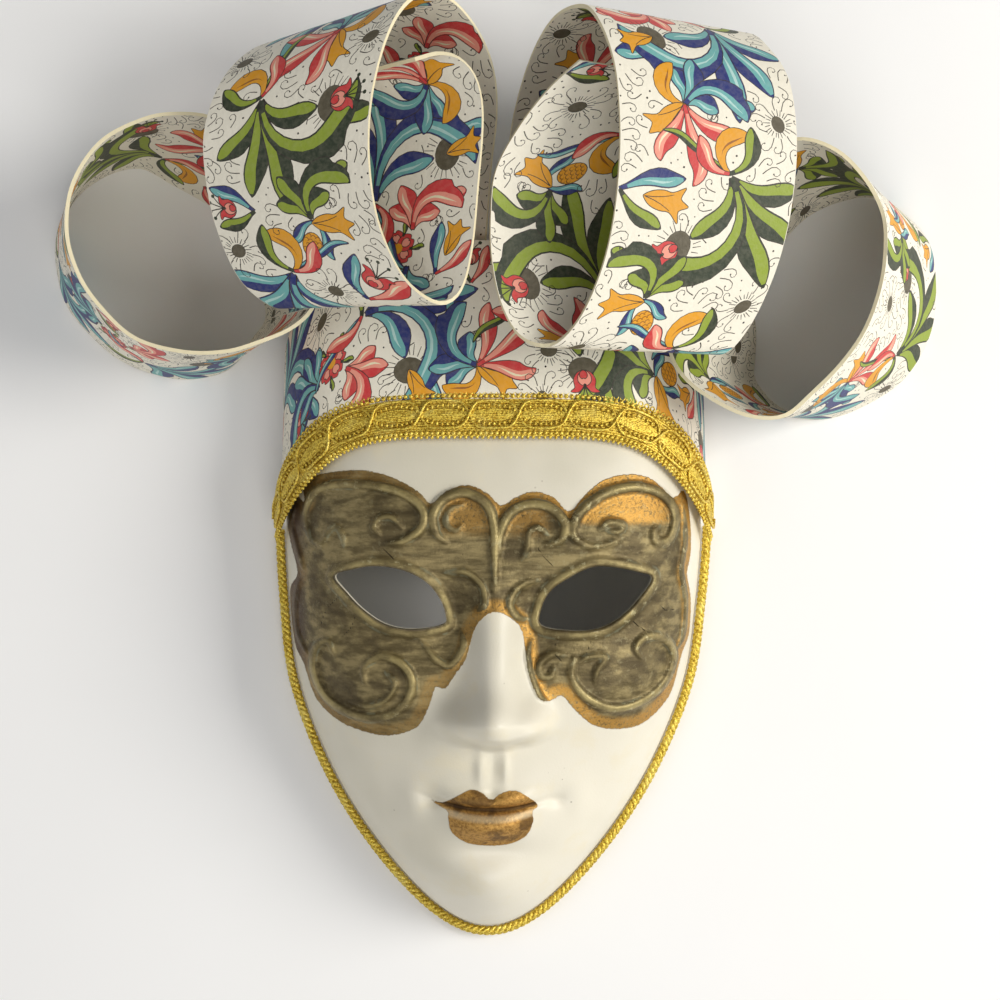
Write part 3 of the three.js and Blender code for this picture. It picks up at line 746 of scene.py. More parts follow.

# %% Copper leaf, with painted light that makes it stronger on the right, by its places on the face in metres
sides = ceramic.node("ShaderNodeSeparateXYZ", {}, {"Vector": ceramic.place})
east_side = Signal(ceramic, sides.outputs["X"])
north_side = Signal(ceramic, sides.outputs["Y"])
outside_scroll = ceramic.field("band").step(3.4, 1.8) * (1 - on_bead)
# Painted light: the copper leaf fades towards the left and is full on the right, where the light falls.
painted_light_east = 0.3 + 0.7 * east_side.step(-0.02, 0.012)
leaf_right = east_side.step(0.016, 0.02) * east_side.step(0.04, 0.036) * north_side.step(-0.0425, -0.0405)
leaf_heart = ceramic.math("ABSOLUTE", east_side).step(0.013, 0.009) * north_side.step(-0.0455, -0.041) * 0.6
leaf = ceramic.math("MAXIMUM", outside_scroll * painted_light_east, ceramic.math("MAXIMUM", leaf_right, leaf_heart))
leaf = leaf * sand.step(0.3, 0.52) * (1 - on_bead)
west_lobe = east_side.step(-0.0405, -0.0445)
print("copper leaf is a mask")

# %% The bronze of the band
bronze = ceramic.mix(brushed.step(0.36, 0.66), tone(96, 84, 54), tone(152, 136, 94))
BRONZE_COATS = [
    # how much and where, colour
    (patch.step(0.46, 0.6) * 0.6, tone(74, 63, 42)),
    # copper leaf, made stronger on the right as painted light
    (leaf, tone(190, 146, 76)),
    (on_bead * 0.35, tone(104, 92, 58)),
    (crest_wear_and_highlight * 0.7, tone(186, 168, 112)),
    (chalk * 0.55, tone(140, 142, 116)),
    (chips * 0.6, tone(196, 186, 142)),
    (west_lobe * 0.7, tone(66, 44, 40)),
]
for where, colour in BRONZE_COATS:
    bronze = ceramic.mix(where, bronze, colour)
print("bronze in", len(BRONZE_COATS) + 1, "coats")

# %% The gilded lips, with a painted highlight and a painted shade line
in_lips = (ceramic.field("lips") + edge_wobble * 0.6).step(0.0, 0.2)
over_line = ceramic.field("mouth")
lip_gold = ceramic.mix(sand.step(0.35, 0.6), tone(148, 108, 52), tone(196, 152, 84))
# A painted highlight: a pale band along the lower lip, just under the parting.
lip_painted_highlight = over_line.step(-3.0, -2.0) * over_line.step(-0.7, -1.4)
LIP_COATS = [
    (ceramic.noise(150, 3).step(0.5, 0.6) * 0.7, tone(92, 68, 42)),
    (lip_painted_highlight * 0.5, tone(222, 204, 168)),
    # Painted shade: a dark line in the groove where the lips part.
    (ceramic.math("ABSOLUTE", over_line).step(0.75, 0.2) * 0.85, tone(56, 38, 24)),
]
for where, colour in LIP_COATS:
    lip_gold = ceramic.mix(where, lip_gold, colour)
print("lips in", len(LIP_COATS) + 1, "coats")

# %% Lay the paints over one another
gilded = ceramic.math("MAXIMUM", in_band, in_lips)
hairline = ceramic.field("crack").step(0.16, 0.05) * in_band
# Painted shade: the walls of the eye holes are darkened towards brown, and the metal is taken off them.
eye_wall_painted_shade = ceramic.field("eye").step(0.5, 0.2)
surface = ceramic.mix(gilded, ivory, ceramic.mix(in_lips, bronze, lip_gold))
surface = ceramic.mix(hairline * 0.85, surface, tone(28, 22, 16))
surface = ceramic.mix(eye_wall_painted_shade * 0.6, surface, tone(60, 48, 32))
ceramic.feed(
    Base_Color=surface,
    Metallic=gilded * (0.45 + 0.35 * leaf) * (1 - eye_wall_painted_shade),
    Roughness=0.46 + gilded * (0.04 - 0.12 * crest_wear_and_highlight) + (patch - 0.5) * 0.18,
    Coat_Weight=0.12 * (1 - gilded),
)
brushwork = gilded * (sand * 1.3 + brushed * 0.8) + in_band * 0.5
ceramic.bump(grain * 0.25 + patch * 0.4 + brushwork - hairline * 2.2, 0.12 * MM)
mask.data.materials.append(ceramic.material)
print("ceramic paint:", len(ceramic.tree.nodes), "nodes")

# %% [markdown]
# ## The printed ribbon
# The ribbon is card faced with a traditional paper print: acanthus scrolls in turquoise and green, coral
# petals, ochre bells, tulips, daisies with long rays, and thin tendrils with dots between them. An image
# could carry it, but drawn shapes stay sharp at any size. So the print is drawn flat, as filled polygons in
# millimetres laid one over another, and one constrained triangulation turns them all into triangles. The
# topmost shape over each triangle gives its ink. The flat sheet is then bent onto the ribbon.

# %% Inks
INKS = {
    "ground": tone(238, 232, 214), "line": tone(44, 36, 30), "navy": tone(42, 52, 112),
    "turquoise": tone(108, 172, 170), "mist": tone(176, 212, 206), "green": tone(140, 158, 50),
    "dark green": tone(44, 54, 36), "ochre": tone(226, 156, 30), "brown": tone(150, 92, 22),
    "red": tone(204, 58, 60), "pink": tone(238, 152, 132), "disc": tone(86, 79, 62),
    "cream": tone(240, 228, 190),
}
INK_NAMES = list(INKS)
CUT_EDGE = tone(236, 224, 186)
RIBBON_WIDE = 38.0
RIBBON_THICK = 0.8
PRINT_BORDER = 0.12

# A leaf's light side, its dark side and its highlight
TURQUOISE = ("turquoise", "navy", "mist")
GREEN = ("green", "dark green", "green")
CORAL = ("pink", "red", "cream")
OCHRE = ("ochre", "ochre", "brown")
print(len(INKS), "inks on a ribbon", RIBBON_WIDE, "mm wide")


# %% Places and ovals on the flat strip
def away(x, y, reach, heading):
    """The point at a distance and a heading from another."""
    return x + reach * math.cos(heading), y + reach * math.sin(heading)


def oval(half_long, half_wide, sides):
    """Corners of an oval round the origin."""
    turn = np.arange(sides) * 2 * math.pi / sides
    return np.column_stack([half_long * np.cos(turn), half_wide * np.sin(turn)])


def laid(shape, x, y, heading):
    """A shape turned to a heading and moved to a place."""
    cosine, sine = math.cos(heading), math.sin(heading)
    return shape @ np.array([[cosine, sine], [-sine, cosine]]) + [x, y]


# %% A strip that knows what is still free
class Strip:
    """Filled shapes on a strip of ribbon, later ones over earlier ones, and a map of what is still free."""

    PITCH = 0.7
    CLAIM_REACH = 7.0
    NOTHING_NEAR = 99.0
    EDGE_ROOM = 1.2

    def __init__(self, length, seed):
        self.length = length
        self.dice = random.Random(seed)
        self.shapes = []
        xs = np.arange(self.PITCH / 2, length, self.PITCH)
        ys = np.arange(self.PITCH / 2, RIBBON_WIDE, self.PITCH)
        self.gx, self.gy = np.meshgrid(xs, ys)
        self.free = np.minimum(self.gy, RIBBON_WIDE - self.gy) + self.EDGE_ROOM

    def fill(self, points, ink):
        """A plain shape in one ink over all earlier ones."""
        self.shapes.append((np.asarray(points, float), INK_NAMES.index(ink)))

    def outlined(self, points, ink, line=0.17):
        """A shape with a thin dark line round it, which also takes its place on the strip."""
        points = np.asarray(points, float)
        before, after = np.roll(points, 1, axis=0), np.roll(points, -1, axis=0)
        run = after - before
        out = np.column_stack([run[:, 1], -run[:, 0]]) / np.maximum(np.hypot(*run.T), 1e-6)[:, None]
        area = np.sum(points[:, 0] * after[:, 1] - points[:, 1] * after[:, 0])
        self.fill(points + out * line * math.copysign(1, area), "line")
        self.fill(points, ink)
        self.claim(points, solid=True)

    def claim(self, points, solid=False):
        """Marks the strip's map with the distance to these points, and 0 inside a solid shape."""
        low = np.floor((points.min(axis=0) - self.CLAIM_REACH) / self.PITCH).astype(int)
        high = np.ceil((points.max(axis=0) + self.CLAIM_REACH) / self.PITCH).astype(int)
        columns, rows = [slice(max(a, 0), max(b, 0)) for a, b in zip(low, high)]
        gx, gy = self.gx[rows, columns], self.gy[rows, columns]
        if not gx.size:
            return
        far = np.full(gx.shape, self.NOTHING_NEAR)
        for px, py in points:
            np.minimum(far, np.hypot(gx - px, gy - py), out=far)
        if solid:
            far[inside_polygon(gx, gy, points)] = 0
        self.free[rows, columns] = np.minimum(self.free[rows, columns], far)

    def free_place(self, least):
        """The freest place on the strip, or nothing where less than the least is free."""
        row, column = np.unravel_index(np.argmax(self.free), self.free.shape)
        if self.free[row, column] < least:
            return None
        return self.gx[row, column], self.gy[row, column], self.free[row, column]


# %% Strokes of the pen
class Pen(Strip):
    """Thin dark lines, dots, tendrils and rays."""

    CURL_BENDS = (-1.4, 11.5)
    HOOK_FROM_TO = (0.62, 1.05)

    def path(self, x, y, heading, length, bends, steps, hook=0.0):
        """A curve that turns evenly more or less, with a hook at its tip: its points and headings."""
        knots = 1 - (1 - np.arange(steps + 1) / steps) ** 1.4
        t = (knots[1:] + knots[:-1]) / 2
        early, late = bends
        turn = heading + early * t + 0.5 * (late - early) * t * t + hook * ramp(*self.HOOK_FROM_TO, t)
        step = np.column_stack([np.cos(turn), np.sin(turn)]) * (length * np.diff(knots))[:, None]
        points = np.vstack([[x, y], [x, y] + np.cumsum(step, axis=0)])
        return points, np.append(turn, turn[-1])

    def stroke(self, x, y, heading, length, bends, thick=0.24, steps=9, knob=True):
        """A thin line that may roll up at its end, with a small knob there."""
        points, turn = self.path(x, y, heading, length, bends, steps)
        side = np.column_stack([-np.sin(turn), np.cos(turn)])
        slim = thick / 2 * np.linspace(1.15, 0.75, len(points))[:, None]
        self.fill(np.vstack([points + side * slim, (points - side * slim)[::-1]]), "line")
        self.claim(points[::2])
        if knob:
            self.dot(*points[-1], thick * 1.05)
        return points

    def dot(self, x, y, radius, ink="line", sides=5):
        """A small round spot, which takes no place on the map."""
        self.fill(oval(radius, radius, sides) + [x, y], ink)

    def curl(self, x, y, heading, size, hand):
        """A tendril: nearly straight, then rolled up."""
        bends = [bend * hand for bend in self.CURL_BENDS]
        self.stroke(x, y, heading, size * 1.3, bends, thick=0.19, steps=8)

    def fringe(self, x, y, inner, length, count):
        """Short rays all round a disc."""
        for i in range(count):
            turn = 2 * math.pi * i / count + self.dice.uniform(-0.05, 0.05)
            start = away(x, y, inner, turn)
            ray = length * self.dice.uniform(0.75, 1.25)
            self.stroke(*start, turn, ray, (0.3, 0.3), thick=0.17, steps=1, knob=False)


# %% Leaves
class Print(Pen):
    """A strip that also takes leaves, each light with a dark side."""

    HOOK = 1.5
    SLIVER_LEAST = 9
    # turn from the leaf's heading, share of its length, first and last bend
    FINGERS = (
        (-0.62, 0.46, 0.9, -5.0),
        (-0.34, 0.60, 1.5, -4.6),
        (0.42, 0.44, 0.4, 4.6),
        (-0.12, 0.72, 2.1, -4.8),
    )

    def tongue(self, x, y, heading, length, width, bends, inks, lobes=0, steps=15):
        """One lobe of a leaf: thin root, widest past the middle, hooked tip, dark on the outside."""
        light, dark, shine = inks
        hand = -math.copysign(1, bends[0] + bends[1])
        points, turn = self.path(x, y, heading, length, bends, steps, hook=self.HOOK * hand)
        t = np.linspace(0, 1, len(points))
        side = np.column_stack([-np.sin(turn), np.cos(turn)])
        body = width * (0.16 + 0.84 * ramp(0, 0.6, t)) * (1 - t**3.2) * (1 - 0.25 * ramp(0.7, 1, t))
        notch = 1 + 0.7 * t * ((lobes * t * 1.6) % 1) if lobes else 1
        outer = points + side * hand * (0.56 * body * notch)[:, None]
        inner = points - side * hand * (0.44 * body)[:, None]
        self.outlined(np.vstack([outer, inner[::-1]]), dark)
        teeth = 0.16 + 0.13 * np.sin(9 * t + 0.5)
        middle = points + side * hand * (body * teeth * notch)[:, None]
        edge = points - side * hand * (0.40 * body)[:, None]
        self.fill(np.vstack([middle[1:-1], edge[1:-1][::-1]]), light)
        if len(points) > self.SLIVER_LEAST:
            spine = slice(3, len(points) - 3)
            sliver = np.sin(math.pi * np.linspace(0, 1, len(points) - 6))[:, None] * body[spine, None]
            high = points[spine] - side[spine] * hand * 0.14 * sliver
            low = points[spine] - side[spine] * hand * 0.27 * sliver
            self.fill(np.vstack([high, low[::-1]]), shine)

    def leaf(self, root, heading, hand, form, inks, steps=13):
        """A tongue from its form, mirrored by hand: turn from the heading, length, width and two bends."""
        turn, length, width, early, late = form
        bends = (early * hand, late * hand)
        self.tongue(*root, heading + turn * hand, length, width, bends, inks, steps=steps)

    def acanthus(self, x, y, heading, length, width, turn, inks, lobes=3):
        """A scroll leaf that rolls up: smaller tongues leave its outer side, and tendrils its hollow."""
        hand = math.copysign(1, turn)
        bends = (0.25 * turn, 1.75 * turn)
        points, headings = self.path(x, y, heading, length, bends, 16)
        for at in (3, 5, 7):
            inward = headings[at] + 1.1 * hand
            self.curl(*away(*points[at], width * 0.75, inward + 0.4 * hand), inward, 4.4, hand)
        for spread, share, early, late in self.FINGERS[:lobes + 1]:
            form = (spread, length * share, width * (0.7 + 0.4 * share), early, late)
            self.leaf((x, y), heading, hand, form, inks, steps=12)
        tip = (-0.6, length * 0.3, width * 0.7, 1.0, -4.4)
        self.leaf(points[9], headings[9], hand, tip, inks, steps=10)
        self.tongue(x, y, heading, length, width, bends, inks, lobes=2, steps=16)


# %% [markdown]
# ## The flowers and leaves of the print
# A printer's pattern is a few motifs said again and again in new places. Each motif here is a function that
# draws at a place and a heading, so it can be turned and mirrored. Petals and bells are outlines of a few
# points with a smooth curve through them; leaves are tongues that follow a bent path. A dice with a fixed
# seed varies sizes and headings, so no two stretches of ribbon are alike and every run gives the same print.

# %% Outlines of the petals, one unit wide
BELL = [
    (0, -0.15), (0.8, -0.75), (2.0, -1.0), (3.1, -0.95), (4.2, -1.75), (4.3, -1.65), (4.0, -0.65),
    (4.8, -0.1), (4.8, 0.1), (3.9, 0.6), (4.1, 1.6), (4.0, 1.7), (2.9, 1.0), (1.9, 1.0), (0.8, 0.7),
    (0, 0.15),
]
PETAL = [(0, 0), (0.8, -0.85), (2.0, -1.0), (3.1, -0.35), (3.9, -0.75), (3.5, 0.35), (2.4, 0.75), (1.1, 0.6)]
HEART = [(0, 0), (0.7, -1.0), (1.9, -1.2), (2.7, -0.5), (2.4, 0), (2.7, 0.5), (1.9, 1.2), (0.7, 1.0)]


def petal(sheet, points, x, y, heading, size, ink, flip=1):
    """A closed smooth shape, turned, sized and laid at a place."""
    shape = route(points, closed=True, per_span=3) * [1, flip] * size
    sheet.outlined(laid(shape, x, y, heading), ink)


# %% Daisy, bell and tulip
def daisy(sheet, x, y, size):
    """An oval disc with a fringe of short rays, and long ones that curl at their ends on two sides."""
    dice = sheet.dice
    tilt = dice.uniform(0, math.pi)
    sheet.fringe(x, y, 1.8, 1.3, 22)
    for side in (0, math.pi):
        for spread in (-0.75, -0.25, 0.25, 0.75):
            turn = tilt + side + spread
            hand = 1 if spread > 0 else -1
            bends = (-1.4 * hand, 10.5 * hand)
            ray = size * dice.uniform(1.0, 1.25)
            sheet.stroke(*away(x, y, 3.0, turn), turn, ray, bends, thick=0.18, steps=8)
    sheet.outlined(laid(oval(1.75, 1.3, 14), x, y, tilt), "disc", 0.1)


def trumpet(sheet, x, y, heading, size, flip=1):
    """An ochre bell with a three-pointed mouth and two veins."""
    petal(sheet, BELL, x, y, heading, size, "ochre", flip)
    for hand in (-1, 1):
        bends = (0.25 * hand, 0.5 * hand)
        sheet.stroke(x, y, heading + 0.1 * hand, size * 3.2, bends, 0.16, 4, knob=False)


def tulip(sheet, x, y, heading, size):
    """Two outer petals, a middle one over them, and berries on stalks."""
    for lift in (-0.5, -0.17, 0.17, 0.5):
        root = away(x, y, 2 * size, heading)
        stalk = sheet.stroke(*root, heading + lift, size * 2.7, (lift, lift), steps=5, knob=False)
        sheet.dot(*stalk[-1], 0.42, "dark green", 7)
    for flip in (-1, 1):
        petal(sheet, PETAL, x, y, heading - 0.42 * flip, size * 0.86, "red", flip)
    petal(sheet, HEART, x, y, heading, size * 0.72, "pink")
    petal(sheet, HEART, x - 0.2, y, heading, size * 0.4, "red")


# %% Rose and golden fruit
PETALS = 5


def blossom(sheet, x, y, size):
    """A small rose of five red petals with pale hearts, and green tips between them."""
    for i in range(PETALS):
        turn = 2 * math.pi * i / PETALS + 0.3
        petal(sheet, HEART, x, y, turn, size * 0.62, "red")
        petal(sheet, HEART, *away(x, y, 0.5 * size, turn), turn, size * 0.3, "pink")
    sheet.dot(x, y, size * 0.5, "ochre", 9)
    for i in range(PETALS):
        turn = 2 * math.pi * (i + 0.5) / PETALS + 0.3
        root = away(x, y, size * 1.2, turn)
        sheet.tongue(*root, turn, size * 1.5, size * 0.6, (0.5, 0.9), GREEN, steps=6)


def fruit(sheet, x, y, heading, size):
    """A scaled golden fruit in a cup of two blue leaves."""
    middle = 2.2 * size
    sheet.outlined(laid(oval(1.55 * size, 1.05 * size, 20) + [middle, 0], x, y, heading), "ochre")
    for row in range(5):
        for column in range(-2, 3):
            along, aside = (1.1 + 0.55 * row) * size, (column + 0.5 * (row % 2)) * 0.48 * size
            if ((along - middle) / 1.35) ** 2 + (aside / 0.85) ** 2 < size**2:
                px, py = laid(np.array([along, aside]), x, y, heading)
                sheet.dot(px, py, 0.26 * size, "brown", 7)
                sheet.dot(px + 0.04 * size, py + 0.04 * size, 0.19 * size, "ochre", 7)
    root = away(x, y, -0.8 * size, heading)
    for hand in (-1, 1):
        sheet.leaf(root, heading, hand, (1.0, 4.4 * size, 1.25 * size, -1.2, -1.6), TURQUOISE, steps=12)


# %% Scroll leaves, sprigs and lilies
def scroll(sheet, x, y, heading, hand, inks, heart):
    """The main motif: a big scroll leaf with a disc and a bell or a tulip in its hollow."""
    length = sheet.dice.uniform(33, 38)
    turn = 4.3 * hand
    middle, _ = sheet.path(x, y, heading, length, (0.25 * turn, 1.75 * turn), 16)
    hollow = middle[9:].mean(axis=0)
    root = away(x, y, -1.0, heading)
    sheet.leaf(root, heading + math.pi, hand, (-0.3, 17, 1.7, -1.2, 2.6), inks, steps=14)
    sheet.fringe(*hollow, 3.4, 2.0, 24)
    sheet.outlined(oval(3.4, 2.8, 16) + hollow, "disc", 0.1)
    sheet.acanthus(x, y, heading, length, 6.4, turn, inks)
    if heart == "bell":
        trumpet(sheet, *hollow, heading + 1.3 * hand, 1.6, hand)
    else:
        tulip(sheet, *hollow, heading + 1.6 * hand, 1.6)
        sheet.leaf(root, heading, hand, (2.9, 13, 4.4, 1.2, 7.0), OCHRE)
    sheet.leaf(root, heading, hand, (-1.3, 12, 4.0, -1.1, -4.4), GREEN)
    sheet.leaf(root, heading, hand, (2.2, 11, 3.8, 0.9, 4.2), CORAL)


def sprig(sheet, x, y, size):
    """A small bell or bud on a stem between two leaves, for the larger gaps."""
    dice = sheet.dice
    heading = dice.uniform(0, 2 * math.pi)
    root = away(x, y, -0.9 * size, heading)
    first, second = dice.sample((GREEN, CORAL, TURQUOISE), 2)
    sheet.leaf(root, heading, 1, (0.5, size * 1.8, size * 0.55, 1.0, -4.2), first, steps=11)
    sheet.leaf(root, heading, 1, (-0.6, size * 1.6, size * 0.5, -1.0, 4.4), second, steps=11)
    middle = away(x, y, -0.2 * size, heading)
    if dice.random() < 0.5:
        trumpet(sheet, *middle, heading, size * 0.25)
    else:
        tulip(sheet, *middle, heading, size * 0.21)


def lily(sheet, x, y, heading, hand):
    """Long coral petals from one point, with an ochre bell and a blue leaf behind."""
    sheet.acanthus(x, y, heading + 2.4 * hand, 18, 5.2, -3.6 * hand, TURQUOISE, lobes=2)
    sheet.leaf((x, y), heading, hand, (-1.9, 12, 4.2, -1.0, -6.5), OCHRE)
    trumpet(sheet, x, y, heading - 1.0 * hand, 2.0, hand)
    for spread, length in ((0.62, 14), (-0.5, 13), (0.1, 17)):
        bends = (0.4 * spread, 3.6 * spread + 0.6)
        sheet.tongue(x, y, heading + spread, length, 4.4, bends, CORAL, steps=13)


# %% Lay the main motifs along a strip
MOTIFS = ["blue scroll with bell", "lily", "green scroll", "fruit", "blue scroll with tulip", "rose"]
MOTIF_PITCH = 18


def draw_motif(sheet, kind, x, y, heading, hand):
    """One main motif with the leaves that go with it."""
    if kind == "blue scroll with bell":
        scroll(sheet, x - 8, y, heading, hand, TURQUOISE, "bell")
    elif kind == "green scroll":
        scroll(sheet, x - 8, y, heading, hand, GREEN, "tulip")
    elif kind == "blue scroll with tulip":
        scroll(sheet, x - 7, y, heading + 0.3, hand, TURQUOISE, "tulip")
    elif kind == "lily":
        lily(sheet, x - 4, y, heading + 0.5 * hand, hand)
    elif kind == "fruit":
        fruit(sheet, x, y, heading + 0.6 * hand, 2.0)
        sheet.acanthus(x - 2, y, heading + 3.0, 18, 5.2, 4.0 * hand, GREEN, lobes=2)
        trumpet(sheet, x - 1, y, heading - 1.4 * hand, 1.9, -hand)
    else:
        blossom(sheet, x, y + 3 * hand, 2.3)
        sheet.acanthus(x - 4, y, heading + 2.6, 20, 5.2, 4.2 * hand, TURQUOISE)
        sheet.acanthus(x + 4, y, heading - 0.4, 17, 5.0, -4.0 * hand, CORAL, lobes=2)


def lay_motifs(sheet):
    """The motifs in turn along the strip, by turns nearer to one edge and to the other."""
    dice = sheet.dice
    start = dice.randrange(len(MOTIFS))
    count = max(1, round(sheet.length / MOTIF_PITCH))
    for i in range(count):
        x = (i + 0.5) * sheet.length / count + dice.uniform(-1.5, 1.5)
        hand = 1 if (i + start) % 2 else -1
        y = RIBBON_WIDE / 2 - hand * dice.uniform(4, 8)
        heading = dice.uniform(-0.5, 0.5) + (0 if hand > 0 else 0.2)
        draw_motif(sheet, MOTIFS[(i + start) % len(MOTIFS)], x, y, heading, hand)


# %% Fill the gaps, the widest first
ROOM_FOR_FLOWER = 4.4
ROOM_FOR_SPRIG = 5.0
ROOM_FOR_CLUSTER = 2.7
ROOM_FOR_DOT = 1.5
ROOM_FOR_CURL = 1.6


def fill_with_flowers(sheet):
    """A sprig or a daisy in each large gap."""
    dice = sheet.dice
    while place := sheet.free_place(ROOM_FOR_FLOWER):
        x, y, room = place
        if room > ROOM_FOR_SPRIG and dice.random() < 0.5:
            sprig(sheet, x, y, min(room * 1.05, 8.0))
        else:
            daisy(sheet, x, y, min(5.4, room - 0.2))
        sheet.claim(np.array([[x, y]]))


def fill_with_clusters(sheet):
    """Three tendrils side by side."""
    dice = sheet.dice
    while place := sheet.free_place(ROOM_FOR_CLUSTER):
        x, y, _ = place
        turn = dice.uniform(0, 2 * math.pi)
        hand = dice.choice((-1, 1))
        back_x, back_y = 2.2 * math.cos(turn), 2.2 * math.sin(turn)
        for step in (-1, 0, 1):
            aside_x, aside_y = -1.75 * math.sin(turn) * step, 1.75 * math.cos(turn) * step
            sheet.curl(x + aside_x - back_x, y + aside_y - back_y, turn + 0.3 * step, 5.4 - abs(step), hand)


def fill_with_dots(sheet):
    """Single tendrils and dots in what is left."""
    dice = sheet.dice
    while place := sheet.free_place(ROOM_FOR_DOT):
        x, y, room = place
        if room > ROOM_FOR_CURL and dice.random() < 0.6:
            turn = dice.uniform(0, 2 * math.pi)
            sheet.curl(*away(x, y, -1.2, turn), turn, 4.2, dice.choice((-1, 1)))
        else:
            sheet.dot(x, y, dice.uniform(0.16, 0.28))
        sheet.claim(np.array([[x, y]]))


def draw_print(length, seed):
    """One face of a ribbon: the main motifs along it, then sprigs, daisies, tendrils and dots."""
    sheet = Print(length, seed)
    for lay in (lay_motifs, fill_with_flowers, fill_with_clusters, fill_with_dots):
        lay(sheet)
    return sheet


# %% [markdown]
# ## Bending the print onto a ribbon
# A stiff ribbon bends but doesn't stretch, so it is swept by a straight line: each station gives a point of
# the near edge and one of the far edge, 38 mm apart, and two smooth curves run through them. The flat print
# has the same length, and cross lines every 1.5 mm let it bend. Both sides get their own print, and narrow
# walls in cream close the cut edges. The normals come from the swept surface, so the triangles never show.

# %% Stations of the ribbons: near edge, then how far aside the far edge lies
RING_REST = 0.45
BIG_LOOP_LEFT = [
    (-2.6, 13, 29.6, -34, 0), (-1.7, 24, 29.6, -34, 0), (-0.8, 36, 29.4, -34.5, 0),
    (0.4, 47, 29.2, -34.5, -1), (-0.2, 56, 30.5, -34, -3), (-3.2, 63, 35, -33.5, -5),
    (-8.6, 67.6, 43, -33.5, -6), (-14.2, 67, 51, -33.5, -6), (-18.6, 62.4, 56, -34, -5.5),
    (-22.1, 54.5, 58, -35, -4.6), (-24.6, 43.4, 58.5, -35.4, -2.5), (-25.1, 31.9, 58, -35.2, 0.8),
    (-23.4, 19.7, 57.4, -35, 2), (-19, 9.4, 56.8, -35, 1.6), (-14.1, 4.5, 55.6, -34.8, 1.2),
    (-9.9, 3.4, 54, -34.6, 1), (-6.6, 6.6, 52.6, -34.4, 1), (-4.6, 14.8, 51.4, -34.4, 0.5),
    (-3.4, 27.3, 50.6, -34.4, 0), (-2.4, 41.7, 50, -34.4, -1), (-3.6, 49.4, 50, -34.2, -2),
    (-6.9, 53.6, 50.6, -34, -3), (-11.2, 54.6, 51.4, -33.5, -3.5), (-16.2, 53.2, 52, -33.5, -4),
]
BIG_LOOP_RIGHT = [
    (3.4, 13, 29.6, 34.4, 0), (2.8, 24, 29.6, 34.6, 0), (3, 39, 29.3, 35.5, 0),
    (4.6, 49.2, 29.2, 35.5, -1), (8.2, 60, 31.4, 35.5, -2), (12.8, 66, 37.4, 35.8, -2.6),
    (18.3, 65.8, 46, 36, -2.8), (21.4, 59.8, 54, 36.3, -3), (23.9, 51.2, 57.5, 36.6, -1.2),
    (24.9, 41.4, 58.5, 36.8, -0.5), (24.9, 31.4, 58.5, 36.8, 0), (23.7, 19.5, 58, 36.6, 0.4),
    (21.2, 9.2, 57, 36.2, 0), (16.8, -0.2, 55.2, 36, -0.4), (11.4, -5, 52.8, 36.4, -0.6),
    (5.4, -3.2, 50.4, 36.2, 0), (1.4, 3.5, 49.2, 36, 0), (-0.6, 12.5, 48.4, 36, 0),
    (-0.9, 22.2, 48, 36, 0), (0.2, 31.4, 48.2, 36, -0.6), (5.2, 40.5, 49, 35.8, -1.2),
    (11.3, 48, 50, 35.6, -2), (17.4, 53.3, 51.2, 35.4, -2.4),
]
OUTER_LOOP_LEFT = [
    (-39, 4.2, -14.4, 1.4), (-38, 10, -16, 1), (-39.6, 18, -16.6, 0.2), (-43.4, 29.7, -13, -5),
    (-51.1, 40.2, -9.6, -11), (-60.1, 44.9, -7, -12), (-67.5, 45.6, -7.4, -8.4), (-74.5, 44.3, -8.6, -3),
    (-83.4, 39.6, -8.6, -0.6), (-89.4, 31, -9.6, 2), (-91, 21, -11.4, 2.4), (-88.8, 12.2, -12, -0.7),
    (-84.2, 5, -12, -0.8), (-76.6, -2, -10.4, -1.8), (-66.4, -5, -8.2, -2.8), (-57, -5, -7.4, -1.6),
    (-49.6, -2.8, -9.4, 0.4), (-43.4, 0, -12.8, 1.4),
]
OUTER_LOOP_RIGHT = [
    (37.8, -4.4, 22.6, 1.2), (41.2, -10.8, 19, 3), (47.8, -15.8, 14.4, 4.6), (54.5, -18.7, 10.4, 4.6),
    (61.4, -18.6, 8.6, 1.8), (67.4, -13.8, 11, -3.2), (74.2, -7, 13.4, -6.4), (79.4, 0.4, 16.4, -7.8),
    (82.8, 9.6, 18.6, -7), (83.8, 18.4, 18.8, -4), (82.8, 25.4, 17.4, -0.6), (78.4, 32.2, 11.6, 1.6),
    (72.4, 37.8, 9.2, -4), (64.6, 40.4, 8, -10.6), (55.4, 37.6, 10.4, -15), (46.4, 28.4, 14.4, -13),
    (40, 17, 20, -8.4), (37.6, 5.6, 23, -2.6),
]
stations = (BIG_LOOP_LEFT, BIG_LOOP_RIGHT, OUTER_LOOP_LEFT, OUTER_LOOP_RIGHT)
print("stations of the four loops:", [len(rows) for rows in stations])


